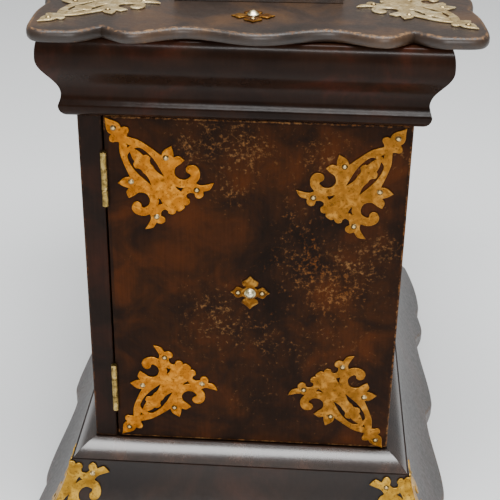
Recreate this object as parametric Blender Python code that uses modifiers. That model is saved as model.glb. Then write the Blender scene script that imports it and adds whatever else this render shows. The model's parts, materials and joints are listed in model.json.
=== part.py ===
# Vanity box: a small dark-lacquered cabinet with one door, on a flaring scalloped base,
# under a moulded cornice and a scalloped top board, with pierced brass mounts.
# Metres, +Z up. The underside is at z = 0, the front faces -Y, and x = y = 0 is the middle.

import math

import bmesh
import bpy
from mathutils import Matrix, Vector

# Cabinet body
BODY_WIDTH = 0.200
BODY_DEPTH = 0.336
BODY_HEIGHT = 0.2365
SIDE_THICKNESS = 0.0145
BACK_THICKNESS = 0.009
FLOOR_THICKNESS = 0.009
DOOR_THICKNESS = 0.013
DOOR_SIDE_GAP = 0.0010
DOOR_END_GAP = 0.0008
JOINT_GAP = 0.0003
BOARD_ROUNDING = 0.0006

# Base: a bead above a wide flaring skirt with a scalloped edge
BASE_HEIGHT = 0.084
BASE_OVERHANG = 0.051
BASE_EDGE_HEIGHT = 0.005
SKIRT_SPARE = 0.002
SKIRT_SHOULDER = 0.015
SKIRT_FLARE_POWER = 1.6
SKIRT_STEPS = 9
BEAD_HEIGHT = 0.010
BEAD_OVERHANG = 0.0140
BEAD_FILLET = 0.0040
MOULDING_SEAT = 0.014

# Cornice: heights above the top of the body and overhangs beyond its faces
CORNICE_HEIGHT = 0.052
CORNICE_BEAD_HEIGHT = 0.009
CORNICE_BEAD_OVERHANG = 0.0093
CORNICE_BEAD_FILLET = 0.0019
CORNICE_NECK_HEIGHT = 0.015
CORNICE_NECK_OVERHANG = 0.0088
CORNICE_TORUS_HEIGHT = 0.039
CORNICE_TORUS_OVERHANG = 0.0184
CORNICE_CROWN_OVERHANG = 0.0150

# Top board and the raised tier on it
TOP_SIDE_OVERHANG = 0.0297
TOP_END_OVERHANG = 0.0260
TOP_THICKNESS = 0.0075
TOP_TURN = math.radians(2.4)
TIER_WIDTH = 0.101
TIER_DEPTH = 0.258
TIER_HEIGHT = 0.020
TIER_ROUNDING = 0.007

# Scalloped edge: places along a front or back edge, measured from its middle, and how far
# the cusps and the waves lie inside the crests
FRONT_CREST = 0.0705
FRONT_WAVE = 0.0400
FRONT_CUSP = 0.0870
LOBE_CROWN = 0.1050
FRONT_CUSP_DEPTH = 0.0110
FRONT_WAVE_DEPTH = 0.0105
# The same along a side edge, measured from the nearer corner of the body. The waves of a side
# lean forward, so the one behind the middle crest isn't the mirror of the one before it.
SIDE_LOBE_CROWN = 0.0085
SIDE_CUSP = 0.0320
SIDE_CREST = 0.0535
SIDE_FRONT_WAVE = 0.1280
SIDE_BACK_WAVE = 0.0900
SIDE_CUSP_DEPTH = 0.0036
SIDE_WAVE_DEPTH = 0.0080
WAVE_STEPS = 6
LOBE_STEPS = 6
FRONT_LOBE_SQUARENESS = 5.0
BACK_LOBE_SQUARENESS = 2.4

# Hinges
HINGE_LENGTH = 0.0360
HINGE_END_INSET = 0.0415
BARREL_RADIUS = 0.0020
BARREL_PROUD = 0.0015
PIN_RADIUS = 0.0008
PIN_CLEARANCE = 0.0003
LEAF_THICKNESS = 0.0009
LEAF_DEPTH = 0.0095
KNUCKLE_GAP = 0.0003
MIDDLE_KNUCKLE_SHARE = 0.38
LEAF_SINK = 0.00018

# Pierced brass mounts: their length from the tip, and their width across the outer leaves
MOUNT_LENGTH = 0.0752
MOUNT_WIDTH = 0.0506
MOUNT_THICKNESS = 0.0009
MOUNT_LIFT = 0.0003
FOLD_LIFT = 0.0006
NAIL_RADIUS = 0.0015
NAIL_HEIGHT = 0.0010
NAIL_SIDES = 6
NAIL_CROWN = 0.6
TOP_MOUNT_SIDE_INSET = 0.0065
TOP_MOUNT_END_INSET = 0.0155
TOP_MOUNT_ANGLE = math.radians(52)
FOLD_START = 0.0006
FOLD_TIP_CLEARANCE = 0.0010
FOLD_STRIPS = 8
# The door's mounts were nailed on by eye: how far each tip is from the door's edge and from
# the end of the body, and the angle of its axis, in degrees
DOOR_MOUNT_PLACES = {
    ("lower", "left"): (0.0028, 0.0028, 51.6),
    ("lower", "right"): (0.0031, 0.0012, 52.0),
    ("upper", "left"): (0.0012, 0.0012, 52.5),
    ("upper", "right"): (0.0040, 0.0018, 54.2),
}

# Rosettes
ROSETTE_RADIUS = 0.0134
ROSETTE_WAIST = 0.00475
ROSETTE_BOSS_RADIUS = 0.0036
ROSETTE_BOSS_HEIGHT = 0.0026
DOOR_ROSETTE_RISE = 0.0007
DOOR_ROSETTE_X = 0.005
SHORT_PETAL_SHARE = 0.62
PETAL_SHOULDER_SHARE = 0.78
ROSETTE_NAIL_SHARE = 0.7
BOSS_CROWN = 0.45
TOP_ROSETTE_INSET = 0.0336
TOP_ROSETTE_X = -0.0028

BODY_TOP = BASE_HEIGHT + BODY_HEIGHT
TOP_LEVEL = BODY_TOP + CORNICE_HEIGHT
FRONT = -BODY_DEPTH / 2
HINGE_X = -BODY_WIDTH / 2 + SIDE_THICKNESS + DOOR_SIDE_GAP / 2
HINGE_Y = FRONT - BARREL_PROUD

LACQUER = ("dark lacquer", (0.012, 0.008, 0.007, 1), 0.0, 0.35)
BARE_WOOD = ("bare wood", (0.10, 0.055, 0.03, 1), 0.0, 0.7)
BRASS = ("brass", (0.42, 0.27, 0.07, 1), 1.0, 0.4)


def clear_scene():
    for old in list(bpy.data.objects):
        bpy.data.objects.remove(old)


def new_collection(name):
    collection = bpy.data.collections.new(name)
    bpy.context.scene.collection.children.link(collection)
    return collection


def principled(name, finish):
    title, color, metallic, roughness = finish
    material = bpy.data.materials.new(name + " " + title)
    material.use_nodes = True
    shader = material.node_tree.nodes["Principled BSDF"]
    shader.inputs["Base Color"].default_value = color
    shader.inputs["Metallic"].default_value = metallic
    shader.inputs["Roughness"].default_value = roughness
    return material


def add_piece(name, mesh, finish, location=(0, 0, 0)):
    piece = bpy.data.objects.new(name, mesh)
    piece.location = location
    mesh.materials.clear()
    mesh.materials.append(principled(name, finish))
    parts.objects.link(piece)
    return piece


def add_cutter(name, mesh, location=(0, 0, 0)):
    cutter = bpy.data.objects.new(name, mesh)
    cutter.location = location
    cutter.hide_render = True
    cutter.display_type = "WIRE"
    cutters.objects.link(cutter)
    return cutter


def boolean(piece, cutter, operation):
    modifier = piece.modifiers.new(operation.title(), "BOOLEAN")
    modifier.operation = operation
    modifier.solver = "EXACT"
    modifier.object = cutter


def box_mesh(name, size):
    mesh = bpy.data.meshes.new(name)
    shape = bmesh.new()
    bmesh.ops.create_cube(shape, size=1)
    bmesh.ops.scale(shape, vec=size, verts=shape.verts)
    shape.to_mesh(mesh)
    shape.free()
    return mesh


def box_between(low, high):
    size = [high[axis] - low[axis] for axis in range(3)]
    middle = [(high[axis] + low[axis]) / 2 for axis in range(3)]
    return size, middle


def add_board(name, low, high, finish=LACQUER, rounding=BOARD_ROUNDING):
    size, middle = box_between(low, high)
    board = add_piece(name, box_mesh(name, size), finish, middle)
    if rounding:
        bevel = board.modifiers.new("Rounding", "BEVEL")
        bevel.width = rounding
        bevel.segments = 1
    return board


def add_box_cutter(name, low, high):
    size, middle = box_between(low, high)
    return add_cutter(name, box_mesh(name, size), middle)


def cylinder_mesh(name, radius, length, sides, top_radius=None):
    mesh = bpy.data.meshes.new(name)
    shape = bmesh.new()
    bmesh.ops.create_cone(shape, cap_ends=True, segments=sides, radius1=radius,
                          radius2=radius if top_radius is None else top_radius, depth=length)
    shape.to_mesh(mesh)
    shape.free()
    return mesh


def filled_mesh(name, loops, thickness):
    """A flat plate from closed outlines; an outline inside another one is a hole."""
    curve = bpy.data.curves.new(name, "CURVE")
    curve.dimensions = "2D"
    curve.fill_mode = "BOTH"
    curve.extrude = thickness / 2
    for loop in loops:
        spline = curve.splines.new("POLY")
        spline.points.add(len(loop) - 1)
        for point, (x, y) in zip(spline.points, loop):
            point.co = (x, y, 0, 1)
        spline.use_cyclic_u = True
    holder = bpy.data.objects.new(name + " outline", curve)
    bpy.context.scene.collection.objects.link(holder)
    bpy.context.view_layer.update()
    evaluated = holder.evaluated_get(bpy.context.evaluated_depsgraph_get())
    mesh = bpy.data.meshes.new_from_object(evaluated)
    mesh.name = name
    bpy.data.objects.remove(holder)
    shape = bmesh.new()
    shape.from_mesh(mesh)
    bmesh.ops.remove_doubles(shape, verts=shape.verts, dist=0.000005)
    bmesh.ops.recalc_face_normals(shape, faces=shape.faces)
    shape.to_mesh(mesh)
    shape.free()
    return mesh


def arc(center, radius, start, end, steps):
    """Points on an arc from one angle to another, in degrees."""
    points = []
    for step in range(steps + 1):
        angle = math.radians(start + (end - start) * step / steps)
        points.append((center[0] + radius * math.cos(angle), center[1] + radius * math.sin(angle)))
    return points


def smooth_run(start, end, steps):
    """A wave from one crest or trough to the next, level at both ends."""
    points = []
    for step in range(1, steps + 1):
        share = step / steps
        rise = (1 - math.cos(math.pi * share)) / 2
        points.append((start[0] + (end[0] - start[0]) * share, start[1] + (end[1] - start[1]) * rise))
    return points


def cusp_run(crest, cusp, steps):
    """A run that leaves the crest level and falls ever faster to the cusp."""
    points = []
    for step in range(1, steps + 1):
        share = step / steps
        fall = 1 - math.cos(math.pi / 2 * share)
        points.append((crest[0] + (cusp[0] - crest[0]) * share, crest[1] + (cusp[1] - crest[1]) * fall))
    return points


def front_edge(spread):
    """Half of a front edge from its middle to the crown of the corner lobe: (along, depth)."""
    points = [(0, 0)]
    points += smooth_run(points[-1], (FRONT_WAVE * spread, FRONT_WAVE_DEPTH), WAVE_STEPS)
    points += smooth_run(points[-1], (FRONT_CREST * spread, 0), WAVE_STEPS)
    points += cusp_run(points[-1], (FRONT_CUSP * spread, FRONT_CUSP_DEPTH), WAVE_STEPS // 2)
    rise = cusp_run((LOBE_CROWN * spread, 0), points[-1], WAVE_STEPS // 2)
    return points + rise[-2::-1] + [(LOBE_CROWN * spread, 0)]


def side_edge():
    """A side edge from the front lobe's crown to the back lobe's: (behind the body's face, depth)."""
    points = [(SIDE_LOBE_CROWN, 0)]
    points += cusp_run(points[-1], (SIDE_CUSP, SIDE_CUSP_DEPTH), WAVE_STEPS // 2)
    rise = cusp_run((SIDE_CREST, 0), points[-1], WAVE_STEPS // 2)
    points += rise[-2::-1] + [(SIDE_CREST, 0)]
    back_end = [(BODY_DEPTH - behind, depth) for behind, depth in reversed(points)]
    points += smooth_run(points[-1], (SIDE_FRONT_WAVE, SIDE_WAVE_DEPTH), WAVE_STEPS)
    points += smooth_run(points[-1], (BODY_DEPTH / 2, 0), WAVE_STEPS)
    points += smooth_run(points[-1], (BODY_DEPTH - SIDE_BACK_WAVE, SIDE_WAVE_DEPTH), WAVE_STEPS)
    points += smooth_run(points[-1], back_end[0], WAVE_STEPS)
    return points + back_end[1:]


def corner_lobe(crown, side_crown, squareness):
    """The lobe between the crown on a front or back edge and the one on a side edge."""
    points = []
    for step in range(1, LOBE_STEPS):
        angle = math.pi / 2 * step / LOBE_STEPS
        across = math.sin(angle) ** (2 / squareness)
        along = 1 - math.cos(angle) ** (2 / squareness)
        points.append((crown[0] + (side_crown[0] - crown[0]) * across,
                       crown[1] + (side_crown[1] - crown[1]) * along))
    return points


def scalloped_outline(side_overhang, end_overhang):
    """The closed outline of the top board or of the base."""
    half_width = BODY_WIDTH / 2 + side_overhang
    half_depth = BODY_DEPTH / 2 + end_overhang
    spread = half_width / (BODY_WIDTH / 2 + TOP_SIDE_OVERHANG)
    front = [(along, depth - half_depth) for along, depth in front_edge(spread)]
    side = [(half_width - depth, behind - BODY_DEPTH / 2) for behind, depth in side_edge()]
    back = [(x, -y) for x, y in reversed(front)]
    right = front + corner_lobe(front[-1], side[0], FRONT_LOBE_SQUARENESS) + side
    right += corner_lobe(back[0], side[-1], BACK_LOBE_SQUARENESS)[::-1] + back
    return right + [(-x, y) for x, y in right[-2:0:-1]]


def moulding_frame(side):
    """Outward direction, half size and name of one of the four sides."""
    outward = {"front": Vector((0, -1, 0)), "right": Vector((1, 0, 0)),
               "back": Vector((0, 1, 0)), "left": Vector((-1, 0, 0))}[side]
    half = BODY_DEPTH / 2 if outward.y else BODY_WIDTH / 2
    other = BODY_WIDTH / 2 if outward.y else BODY_DEPTH / 2
    return outward, half, other


def moulding_mesh(name, profile, side, reach):
    """A straight moulding of (overhang, height) points with both ends mitred."""
    outward, half, other = moulding_frame(side)
    up = Vector((0, 0, 1))
    along = outward.cross(up)
    mesh = filled_mesh(name, [profile], 2 * (other + reach))
    mesh.transform(Matrix((outward, up, along)).transposed().to_4x4())
    mesh.transform(Matrix.Translation(outward * half))
    shape = bmesh.new()
    shape.from_mesh(mesh)
    for end in (-1, 1):
        corner = outward * half + along * end * other
        normal = (along * end - outward).normalized()
        geometry = list(shape.verts) + list(shape.edges) + list(shape.faces)
        cut = bmesh.ops.bisect_plane(shape, geom=geometry, plane_co=corner - normal * JOINT_GAP / 2,
                                     plane_no=normal, clear_outer=True)
        rim = [item for item in cut["geom_cut"] if isinstance(item, bmesh.types.BMEdge)]
        bmesh.ops.triangle_fill(shape, edges=rim, use_beauty=True)
    bmesh.ops.remove_doubles(shape, verts=shape.verts, dist=0.000005)
    bmesh.ops.recalc_face_normals(shape, faces=shape.faces)
    shape.to_mesh(mesh)
    shape.free()
    return mesh


def skirt_overhang(height):
    """How far the skirt's upper surface stands out at a height above the underside."""
    top = BASE_HEIGHT - BEAD_HEIGHT
    share = (top - height) / (top - BASE_EDGE_HEIGHT)
    reach = BASE_OVERHANG + SKIRT_SPARE - SKIRT_SHOULDER
    return SKIRT_SHOULDER + reach * max(0, share) ** SKIRT_FLARE_POWER


def skirt_profile():
    top = BASE_HEIGHT - BEAD_HEIGHT
    points = [(-MOULDING_SEAT, 0), (BASE_OVERHANG + SKIRT_SPARE, 0)]
    for step in range(SKIRT_STEPS + 1):
        height = BASE_EDGE_HEIGHT + (top - BASE_EDGE_HEIGHT) * step / SKIRT_STEPS
        points.append((skirt_overhang(height), height))
    points += [(0, top), (0, BASE_HEIGHT - JOINT_GAP), (-MOULDING_SEAT, BASE_HEIGHT - JOINT_GAP)]
    return points


def bead_profile():
    low = BASE_HEIGHT - BEAD_HEIGHT + JOINT_GAP
    high = BASE_HEIGHT - JOINT_GAP
    points = [(JOINT_GAP, low)]
    reach = BEAD_OVERHANG - BEAD_FILLET
    for step in range(5):
        angle = math.pi / 2 * step / 4
        points.append((BEAD_FILLET + reach * math.cos(angle), low + (high - low) * math.sin(angle)))
    points.append((JOINT_GAP, high))
    return points


def cornice_profile():
    points = [(-MOULDING_SEAT, 0), (CORNICE_BEAD_FILLET, 0)]
    bead = CORNICE_BEAD_OVERHANG - CORNICE_BEAD_FILLET
    for step in range(1, 5):
        angle = math.pi / 2 * step / 4
        points.append((CORNICE_BEAD_FILLET + bead * math.sin(angle),
                       CORNICE_BEAD_HEIGHT * (1 - math.cos(angle))))
    points.append((CORNICE_NECK_OVERHANG, CORNICE_NECK_HEIGHT))
    for step in range(1, 7):
        share = step / 6
        rise = (1 - math.cos(math.pi * share)) / 2
        points.append((CORNICE_NECK_OVERHANG + (CORNICE_TORUS_OVERHANG - CORNICE_NECK_OVERHANG) * rise,
                       CORNICE_NECK_HEIGHT + (CORNICE_TORUS_HEIGHT - CORNICE_NECK_HEIGHT) * share))
    for step in range(1, 4):
        angle = math.pi / 2 * step / 3
        points.append((CORNICE_TORUS_OVERHANG - (CORNICE_TORUS_OVERHANG - CORNICE_CROWN_OVERHANG)
                       * (1 - math.cos(angle)),
                       CORNICE_TORUS_HEIGHT + (CORNICE_HEIGHT - CORNICE_TORUS_HEIGHT) * math.sin(angle)))
    points.append((-MOULDING_SEAT, CORNICE_HEIGHT))
    return [(overhang, BODY_TOP + JOINT_GAP + height * (1 - 2 * JOINT_GAP / CORNICE_HEIGHT))
            for overhang, height in points]


def make_base():
    outline = filled_mesh("base outline", [scalloped_outline(BASE_OVERHANG, BASE_OVERHANG)], BASE_HEIGHT * 3)
    prism = add_cutter("base outline", outline, (0, 0, BASE_HEIGHT / 2))
    for side in ("front", "back", "left", "right"):
        skirt = moulding_mesh("skirt_" + side, skirt_profile(), side, BASE_OVERHANG * 2)
        piece = add_piece("skirt_" + side, skirt, LACQUER)
        boolean(piece, prism, "INTERSECT")
        bead = moulding_mesh("base_bead_" + side, bead_profile(), side, BASE_OVERHANG * 2)
        add_piece("base_bead_" + side, bead, LACQUER)


def make_cornice():
    for side in ("front", "back", "left", "right"):
        cornice = moulding_mesh("cornice_" + side, cornice_profile(), side, CORNICE_TORUS_OVERHANG * 2)
        add_piece("cornice_" + side, cornice, LACQUER)


def make_body():
    half = BODY_WIDTH / 2
    back = BODY_DEPTH / 2
    inner = half - SIDE_THICKNESS
    low = BASE_HEIGHT
    high = BODY_TOP
    behind_door = FRONT + DOOR_THICKNESS + JOINT_GAP
    left = add_board("side_left", (-half, FRONT, low), (-inner, back, high))
    add_board("side_right", (inner, behind_door, low), (half, back, high))
    add_board("back_panel", (-inner + JOINT_GAP, back - BACK_THICKNESS, low),
              (inner - JOINT_GAP, back, high), BARE_WOOD)
    front_of_back = back - BACK_THICKNESS - JOINT_GAP
    add_board("floor_panel", (-inner + JOINT_GAP, behind_door, low),
              (inner - JOINT_GAP, front_of_back, low + FLOOR_THICKNESS), BARE_WOOD)
    add_board("ceiling_panel", (-inner + JOINT_GAP, behind_door, high - FLOOR_THICKNESS),
              (inner - JOINT_GAP, front_of_back, high), BARE_WOOD)
    return left


def make_door():
    left = -BODY_WIDTH / 2 + SIDE_THICKNESS + DOOR_SIDE_GAP
    size, middle = box_between((left, FRONT, BASE_HEIGHT + DOOR_END_GAP),
                               (BODY_WIDTH / 2, FRONT + DOOR_THICKNESS, BODY_TOP - DOOR_END_GAP))
    pivot = bpy.data.objects.new("door pivot", None)
    pivot.location = (HINGE_X, HINGE_Y, 0)
    parts.objects.link(pivot)
    door = add_piece("door", box_mesh("door", size), LACQUER, Vector(middle) - pivot.location)
    bevel = door.modifiers.new("Rounding", "BEVEL")
    bevel.width = BOARD_ROUNDING
    bevel.segments = 1
    door.parent = pivot
    return door, pivot


def barrel_mesh(name, length):
    """A hinge knuckle with its bore along Z, made from a ring-shaped outline."""
    outer = arc((0, 0), BARREL_RADIUS, 0, 330, 11)
    bore = arc((0, 0), PIN_RADIUS + PIN_CLEARANCE, 0, 315, 7)
    return filled_mesh(name, [outer, bore], length)


def make_leaf(name, sign, spans):
    """One hinge leaf with its knuckles, joined into one body; sign -1 is on the left board."""
    middle = HINGE_LENGTH / 2
    near = sign * (DOOR_SIDE_GAP / 2 - LEAF_SINK)
    far = near + sign * LEAF_THICKNESS
    clear = BARREL_RADIUS + PIN_CLEARANCE
    low = (min(near, far), clear, -middle)
    high = (max(near, far), BARREL_PROUD + LEAF_DEPTH, middle)
    size, place = box_between(low, high)
    plate = box_mesh(name, size)
    plate.transform(Matrix.Translation(place))
    leaf = add_piece(name, plate, BRASS)
    for start, end in spans:
        web = add_box_cutter(name + " web", (min(near, far), BARREL_RADIUS * 0.7, start - middle),
                             (max(near, far), clear + LEAF_THICKNESS, end - middle))
        knuckle = add_cutter(name + " knuckle", barrel_mesh(name + " knuckle", end - start),
                             (0, 0, (start + end) / 2 - middle))
        for addition in (web, knuckle):
            addition.parent = leaf
            boolean(leaf, addition, "UNION")
    return leaf


def cut_for_hinge(board, sign, height):
    """The groove for the barrel and the shallow recess for the leaf, in the world frame."""
    half = HINGE_LENGTH / 2 + PIN_CLEARANCE
    groove = cylinder_mesh("hinge groove", BARREL_RADIUS + PIN_CLEARANCE, 2 * half, 16)
    boolean(board, hinge_cutter(groove, board, height), "DIFFERENCE")
    near = sign * DOOR_SIDE_GAP / 4
    far = sign * (DOOR_SIDE_GAP / 2 + LEAF_THICKNESS - LEAF_SINK + PIN_CLEARANCE)
    size, middle = box_between((min(near, far), BARREL_PROUD / 2, -half),
                               (max(near, far), BARREL_PROUD + LEAF_DEPTH + PIN_CLEARANCE, half))
    recess = box_mesh("hinge recess", size)
    recess.transform(Matrix.Translation(middle))
    boolean(board, hinge_cutter(recess, board, height), "DIFFERENCE")


def hinge_cutter(mesh, board, height):
    if board.parent:
        cutter = add_cutter(mesh.name, mesh, (0, 0, BASE_HEIGHT + height))
        cutter.parent = board.parent
        return cutter
    return add_cutter(mesh.name, mesh, (HINGE_X, HINGE_Y, BASE_HEIGHT + height))


def make_hinges(side_board, door, pivot):
    middle_length = HINGE_LENGTH * MIDDLE_KNUCKLE_SHARE
    lower = (HINGE_LENGTH - middle_length) / 2
    outer_spans = [(0, lower - KNUCKLE_GAP / 2), (HINGE_LENGTH - lower + KNUCKLE_GAP / 2, HINGE_LENGTH)]
    middle_span = [(lower + KNUCKLE_GAP / 2, HINGE_LENGTH - lower - KNUCKLE_GAP / 2)]
    for title, height in (("lower", HINGE_END_INSET), ("upper", BODY_HEIGHT - HINGE_END_INSET)):
        center = Vector((HINGE_X, HINGE_Y, BASE_HEIGHT + height))
        fixed = make_leaf("hinge_leaf_fixed_" + title, -1, outer_spans)
        fixed.location = center
        moving = make_leaf("hinge_leaf_door_" + title, 1, middle_span)
        moving.location = (0, 0, center.z)
        moving.parent = pivot
        pin = cylinder_mesh("hinge_pin_" + title, PIN_RADIUS, HINGE_LENGTH, 8)
        add_piece("hinge_pin_" + title, pin, BRASS, center)
        cut_for_hinge(side_board, -1, height)
        cut_for_hinge(door, 1, height)


def mount_sized(points):
    """Points drawn on a mount 75.2 long and 46 wide, brought to the mount's own length and width."""
    return [(u * MOUNT_LENGTH / 75.2, v * MOUNT_WIDTH / 46) for u, v in points]


def mount_half_outline():
    """One half of the mount's outer edge, from the tip to the middle of the shell."""
    points = [(0, 0), (4.2, 2.4), (8.2, 4.3), (10.9, 3.0)]
    points += arc((13.8, 4.4), 2.3, 190, 0, 3)
    points += [(17.0, 2.9), (21.0, 5.0), (27.0, 8.0), (36.6, 10.6), (36.4, 14.4), (38.1, 18.1), (44.0, 14.4)]
    points += [(51.7, 19.0)]
    points += arc((55.6, 14.6), 5.2, 160, 370, 4)
    points += arc((57.8, 18.8), 2.6, -60, -270, 3)
    points += [(61.3, 22.2), (65.6, 20.4), (71.0, 23.0), (72.6, 18.6), (75.6, 15.4)]
    points += arc((74.0, 10.9), 2.0, 50, -60, 3)
    points += arc((70.9, 8.2), 1.7, 50, 310, 2)
    points += [(74.2, 5.4), (73.6, 3.9), (75.2, 1.9), (74.4, 0.8)]
    return mount_sized(points)


def mount_holes():
    """The pierced openings: two on each side of the axis and a dart on it."""
    slot = [(26.0, 1.6), (30.0, 5.4), (36.0, 7.5), (42.0, 7.4), (47.5, 6.2), (52.0, 4.2),
            (46.5, 3.0), (38.0, 3.3), (35.2, 4.6), (31.5, 2.6)]
    side_hole = [(61.2, 5.6), (64.8, 5.9), (62.8, 8.6)]
    dart = [(20.0, 0.0), (23.0, -1.4), (23.0, 1.4)]
    holes = [slot, side_hole]
    holes += [[(x, -y) for x, y in hole] for hole in holes]
    holes.append(dart)
    return [mount_sized(hole) for hole in holes]


def mount_nails():
    return mount_sized([(8.3, 0.0), (41.7, 12.4), (41.7, -12.4), (69.4, 14.4), (69.4, -14.4)])


def mount_loops():
    half = mount_half_outline()
    outline = half + [(x, -y) for x, y in half[:0:-1]]
    return [outline] + mount_holes()


def nail_mesh(name):
    height = NAIL_HEIGHT + MOUNT_THICKNESS / 2
    mesh = cylinder_mesh(name, NAIL_RADIUS, height, NAIL_SIDES, NAIL_RADIUS * NAIL_CROWN)
    mesh.transform(Matrix.Translation((0, 0, MOUNT_THICKNESS / 2 + height / 2)))
    return mesh


def make_mount(name, frame, parent=None):
    """A flat mount whose tip, axis and face come from a matrix; its back lies on the frame's XY plane."""
    plate = filled_mesh(name, mount_loops(), MOUNT_THICKNESS)
    plate.transform(Matrix.Translation((0, 0, MOUNT_THICKNESS / 2)))
    mount = add_piece(name, plate, BRASS)
    for number, (u, v) in enumerate(mount_nails()):
        nail = add_cutter(name + " nail " + str(number), nail_mesh(name + " nail"), (u, v, 0))
        nail.parent = mount
        boolean(mount, nail, "UNION")
    mount.matrix_local = frame
    mount.parent = parent
    return mount


def plane_frame(origin, axis, normal):
    """A matrix with X along the axis, Z along the normal and its origin at a point."""
    axis = Vector(axis).normalized()
    normal = Vector(normal)
    across = normal.cross(axis)
    turn = Matrix((axis, across, normal)).transposed().to_4x4()
    return Matrix.Translation(origin) @ turn


def make_door_mounts(pivot):
    left = -BODY_WIDTH / 2 + SIDE_THICKNESS + DOOR_SIDE_GAP
    edges = {"left": (left, 1), "right": (BODY_WIDTH / 2, -1)}
    ends = {"lower": (BASE_HEIGHT, 1), "upper": (BODY_TOP, -1)}
    for (end, side), (side_inset, end_inset, degrees) in DOOR_MOUNT_PLACES.items():
        level, up = ends[end]
        edge, inward = edges[side]
        tip = Vector((edge + inward * side_inset, FRONT - MOUNT_LIFT, level + up * end_inset))
        angle = math.radians(degrees)
        axis = (inward * math.cos(angle), 0, up * math.sin(angle))
        frame = plane_frame(tip - pivot.location, axis, (0, -1, 0))
        make_mount("door_mount_" + end + "_" + side, frame, pivot)


def make_top(finish=LACQUER):
    turntable = bpy.data.objects.new("top pivot", None)
    turntable.rotation_euler = (0, 0, TOP_TURN)
    parts.objects.link(turntable)
    outline = scalloped_outline(TOP_SIDE_OVERHANG, TOP_END_OVERHANG)
    board = add_piece("top_board", filled_mesh("top_board", [outline], TOP_THICKNESS - JOINT_GAP), finish)
    board.location = (0, 0, TOP_LEVEL + (TOP_THICKNESS + JOINT_GAP) / 2)
    board.parent = turntable
    surface = TOP_LEVEL + TOP_THICKNESS
    half = Vector((TIER_WIDTH / 2, TIER_DEPTH / 2, 0))
    tier = add_board("top_tier", (-half.x, -half.y, surface + JOINT_GAP),
                     (half.x, half.y, surface + TIER_HEIGHT), finish, None)
    tier.parent = turntable
    weights = tier.data.attributes.new("bevel_weight_edge", "FLOAT", "EDGE")
    for edge in tier.data.edges:
        ends = [tier.data.vertices[index].co for index in edge.vertices]
        weights.data[edge.index].value = 1.0 if min(end.z for end in ends) > 0 else 0.0
    rounding = tier.modifiers.new("Rounding", "BEVEL")
    rounding.limit_method = "WEIGHT"
    rounding.width = TIER_ROUNDING
    rounding.segments = 3
    return turntable


def make_top_mounts(turntable):
    surface = TOP_LEVEL + TOP_THICKNESS + MOUNT_LIFT
    across = BODY_WIDTH / 2 + TOP_SIDE_OVERHANG - TOP_MOUNT_SIDE_INSET
    along = BODY_DEPTH / 2 + TOP_END_OVERHANG - TOP_MOUNT_END_INSET
    for end, back in (("front", -1), ("back", 1)):
        for side, right in (("left", -1), ("right", 1)):
            tip = (right * across, back * along, surface)
            axis = (-right * math.cos(TOP_MOUNT_ANGLE), -back * math.sin(TOP_MOUNT_ANGLE), 0)
            make_mount("top_mount_" + end + "_" + side, plane_frame(tip, axis, (0, 0, 1)), turntable)


def rosette_outline():
    """Eight petals round the middle: four long ones on the axes and four short ones between."""
    points = []
    for petal in range(8):
        middle = 45 * petal
        long_petal = petal % 2 == 0
        reach = ROSETTE_RADIUS if long_petal else ROSETTE_RADIUS * SHORT_PETAL_SHARE
        spread = 17 if long_petal else 14
        shoulder = reach * PETAL_SHOULDER_SHARE
        for offset, radius in ((-22.5, ROSETTE_WAIST), (-spread, shoulder), (0, reach), (spread, shoulder)):
            angle = math.radians(middle + offset)
            points.append((radius * math.cos(angle), radius * math.sin(angle)))
    return points


def make_rosette(name, frame, nail_axis, parent):
    """A flat rosette with two nails and a separate domed boss in its middle."""
    plate = filled_mesh(name, [rosette_outline()], MOUNT_THICKNESS)
    plate.transform(Matrix.Translation((0, 0, MOUNT_THICKNESS / 2)))
    rosette = add_piece(name, plate, BRASS)
    for number, sign in enumerate((-1, 1)):
        place = Vector(nail_axis) * sign * ROSETTE_RADIUS * ROSETTE_NAIL_SHARE
        nail = add_cutter(name + " nail " + str(number), nail_mesh(name + " nail"), place)
        nail.parent = rosette
        boolean(rosette, nail, "UNION")
    boss_mesh = cylinder_mesh(name + "_boss", ROSETTE_BOSS_RADIUS, ROSETTE_BOSS_HEIGHT, 12,
                              ROSETTE_BOSS_RADIUS * BOSS_CROWN)
    lift = MOUNT_THICKNESS + JOINT_GAP + ROSETTE_BOSS_HEIGHT / 2
    boss = add_piece(name + "_boss", boss_mesh, BRASS)
    rosette.matrix_local = frame
    boss.matrix_local = frame @ Matrix.Translation((0, 0, lift))
    rosette.parent = parent
    boss.parent = parent


def make_rosettes(pivot, turntable):
    place = Vector((DOOR_ROSETTE_X, FRONT - MOUNT_LIFT, BASE_HEIGHT + BODY_HEIGHT / 2 + DOOR_ROSETTE_RISE))
    make_rosette("door_rosette", plane_frame(place - pivot.location, (1, 0, 0), (0, -1, 0)), (1, 0, 0), pivot)
    top_place = (TOP_ROSETTE_X, -BODY_DEPTH / 2 - TOP_END_OVERHANG + TOP_ROSETTE_INSET,
                 TOP_LEVEL + TOP_THICKNESS + MOUNT_LIFT)
    make_rosette("top_rosette", plane_frame(top_place, (1, 0, 0), (0, 0, 1)), (0, 1, 0), turntable)


def skirt_walk():
    """The skirt's section as steps: length along the mitre, length down the face, height, overhang."""
    top = BASE_HEIGHT - BEAD_HEIGHT
    heights = [top - (top - BASE_EDGE_HEIGHT) * step / SKIRT_STEPS for step in range(SKIRT_STEPS + 1)]
    walk = [(0.0, 0.0, top, skirt_overhang(top))]
    for lower in heights[1:]:
        along_mitre, down_face, upper, overhang = walk[-1]
        out = skirt_overhang(lower) - overhang
        drop = upper - lower
        walk.append((along_mitre + math.sqrt(2 * out * out + drop * drop),
                     down_face + math.sqrt(out * out + drop * drop), lower, overhang + out))
    return walk


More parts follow.
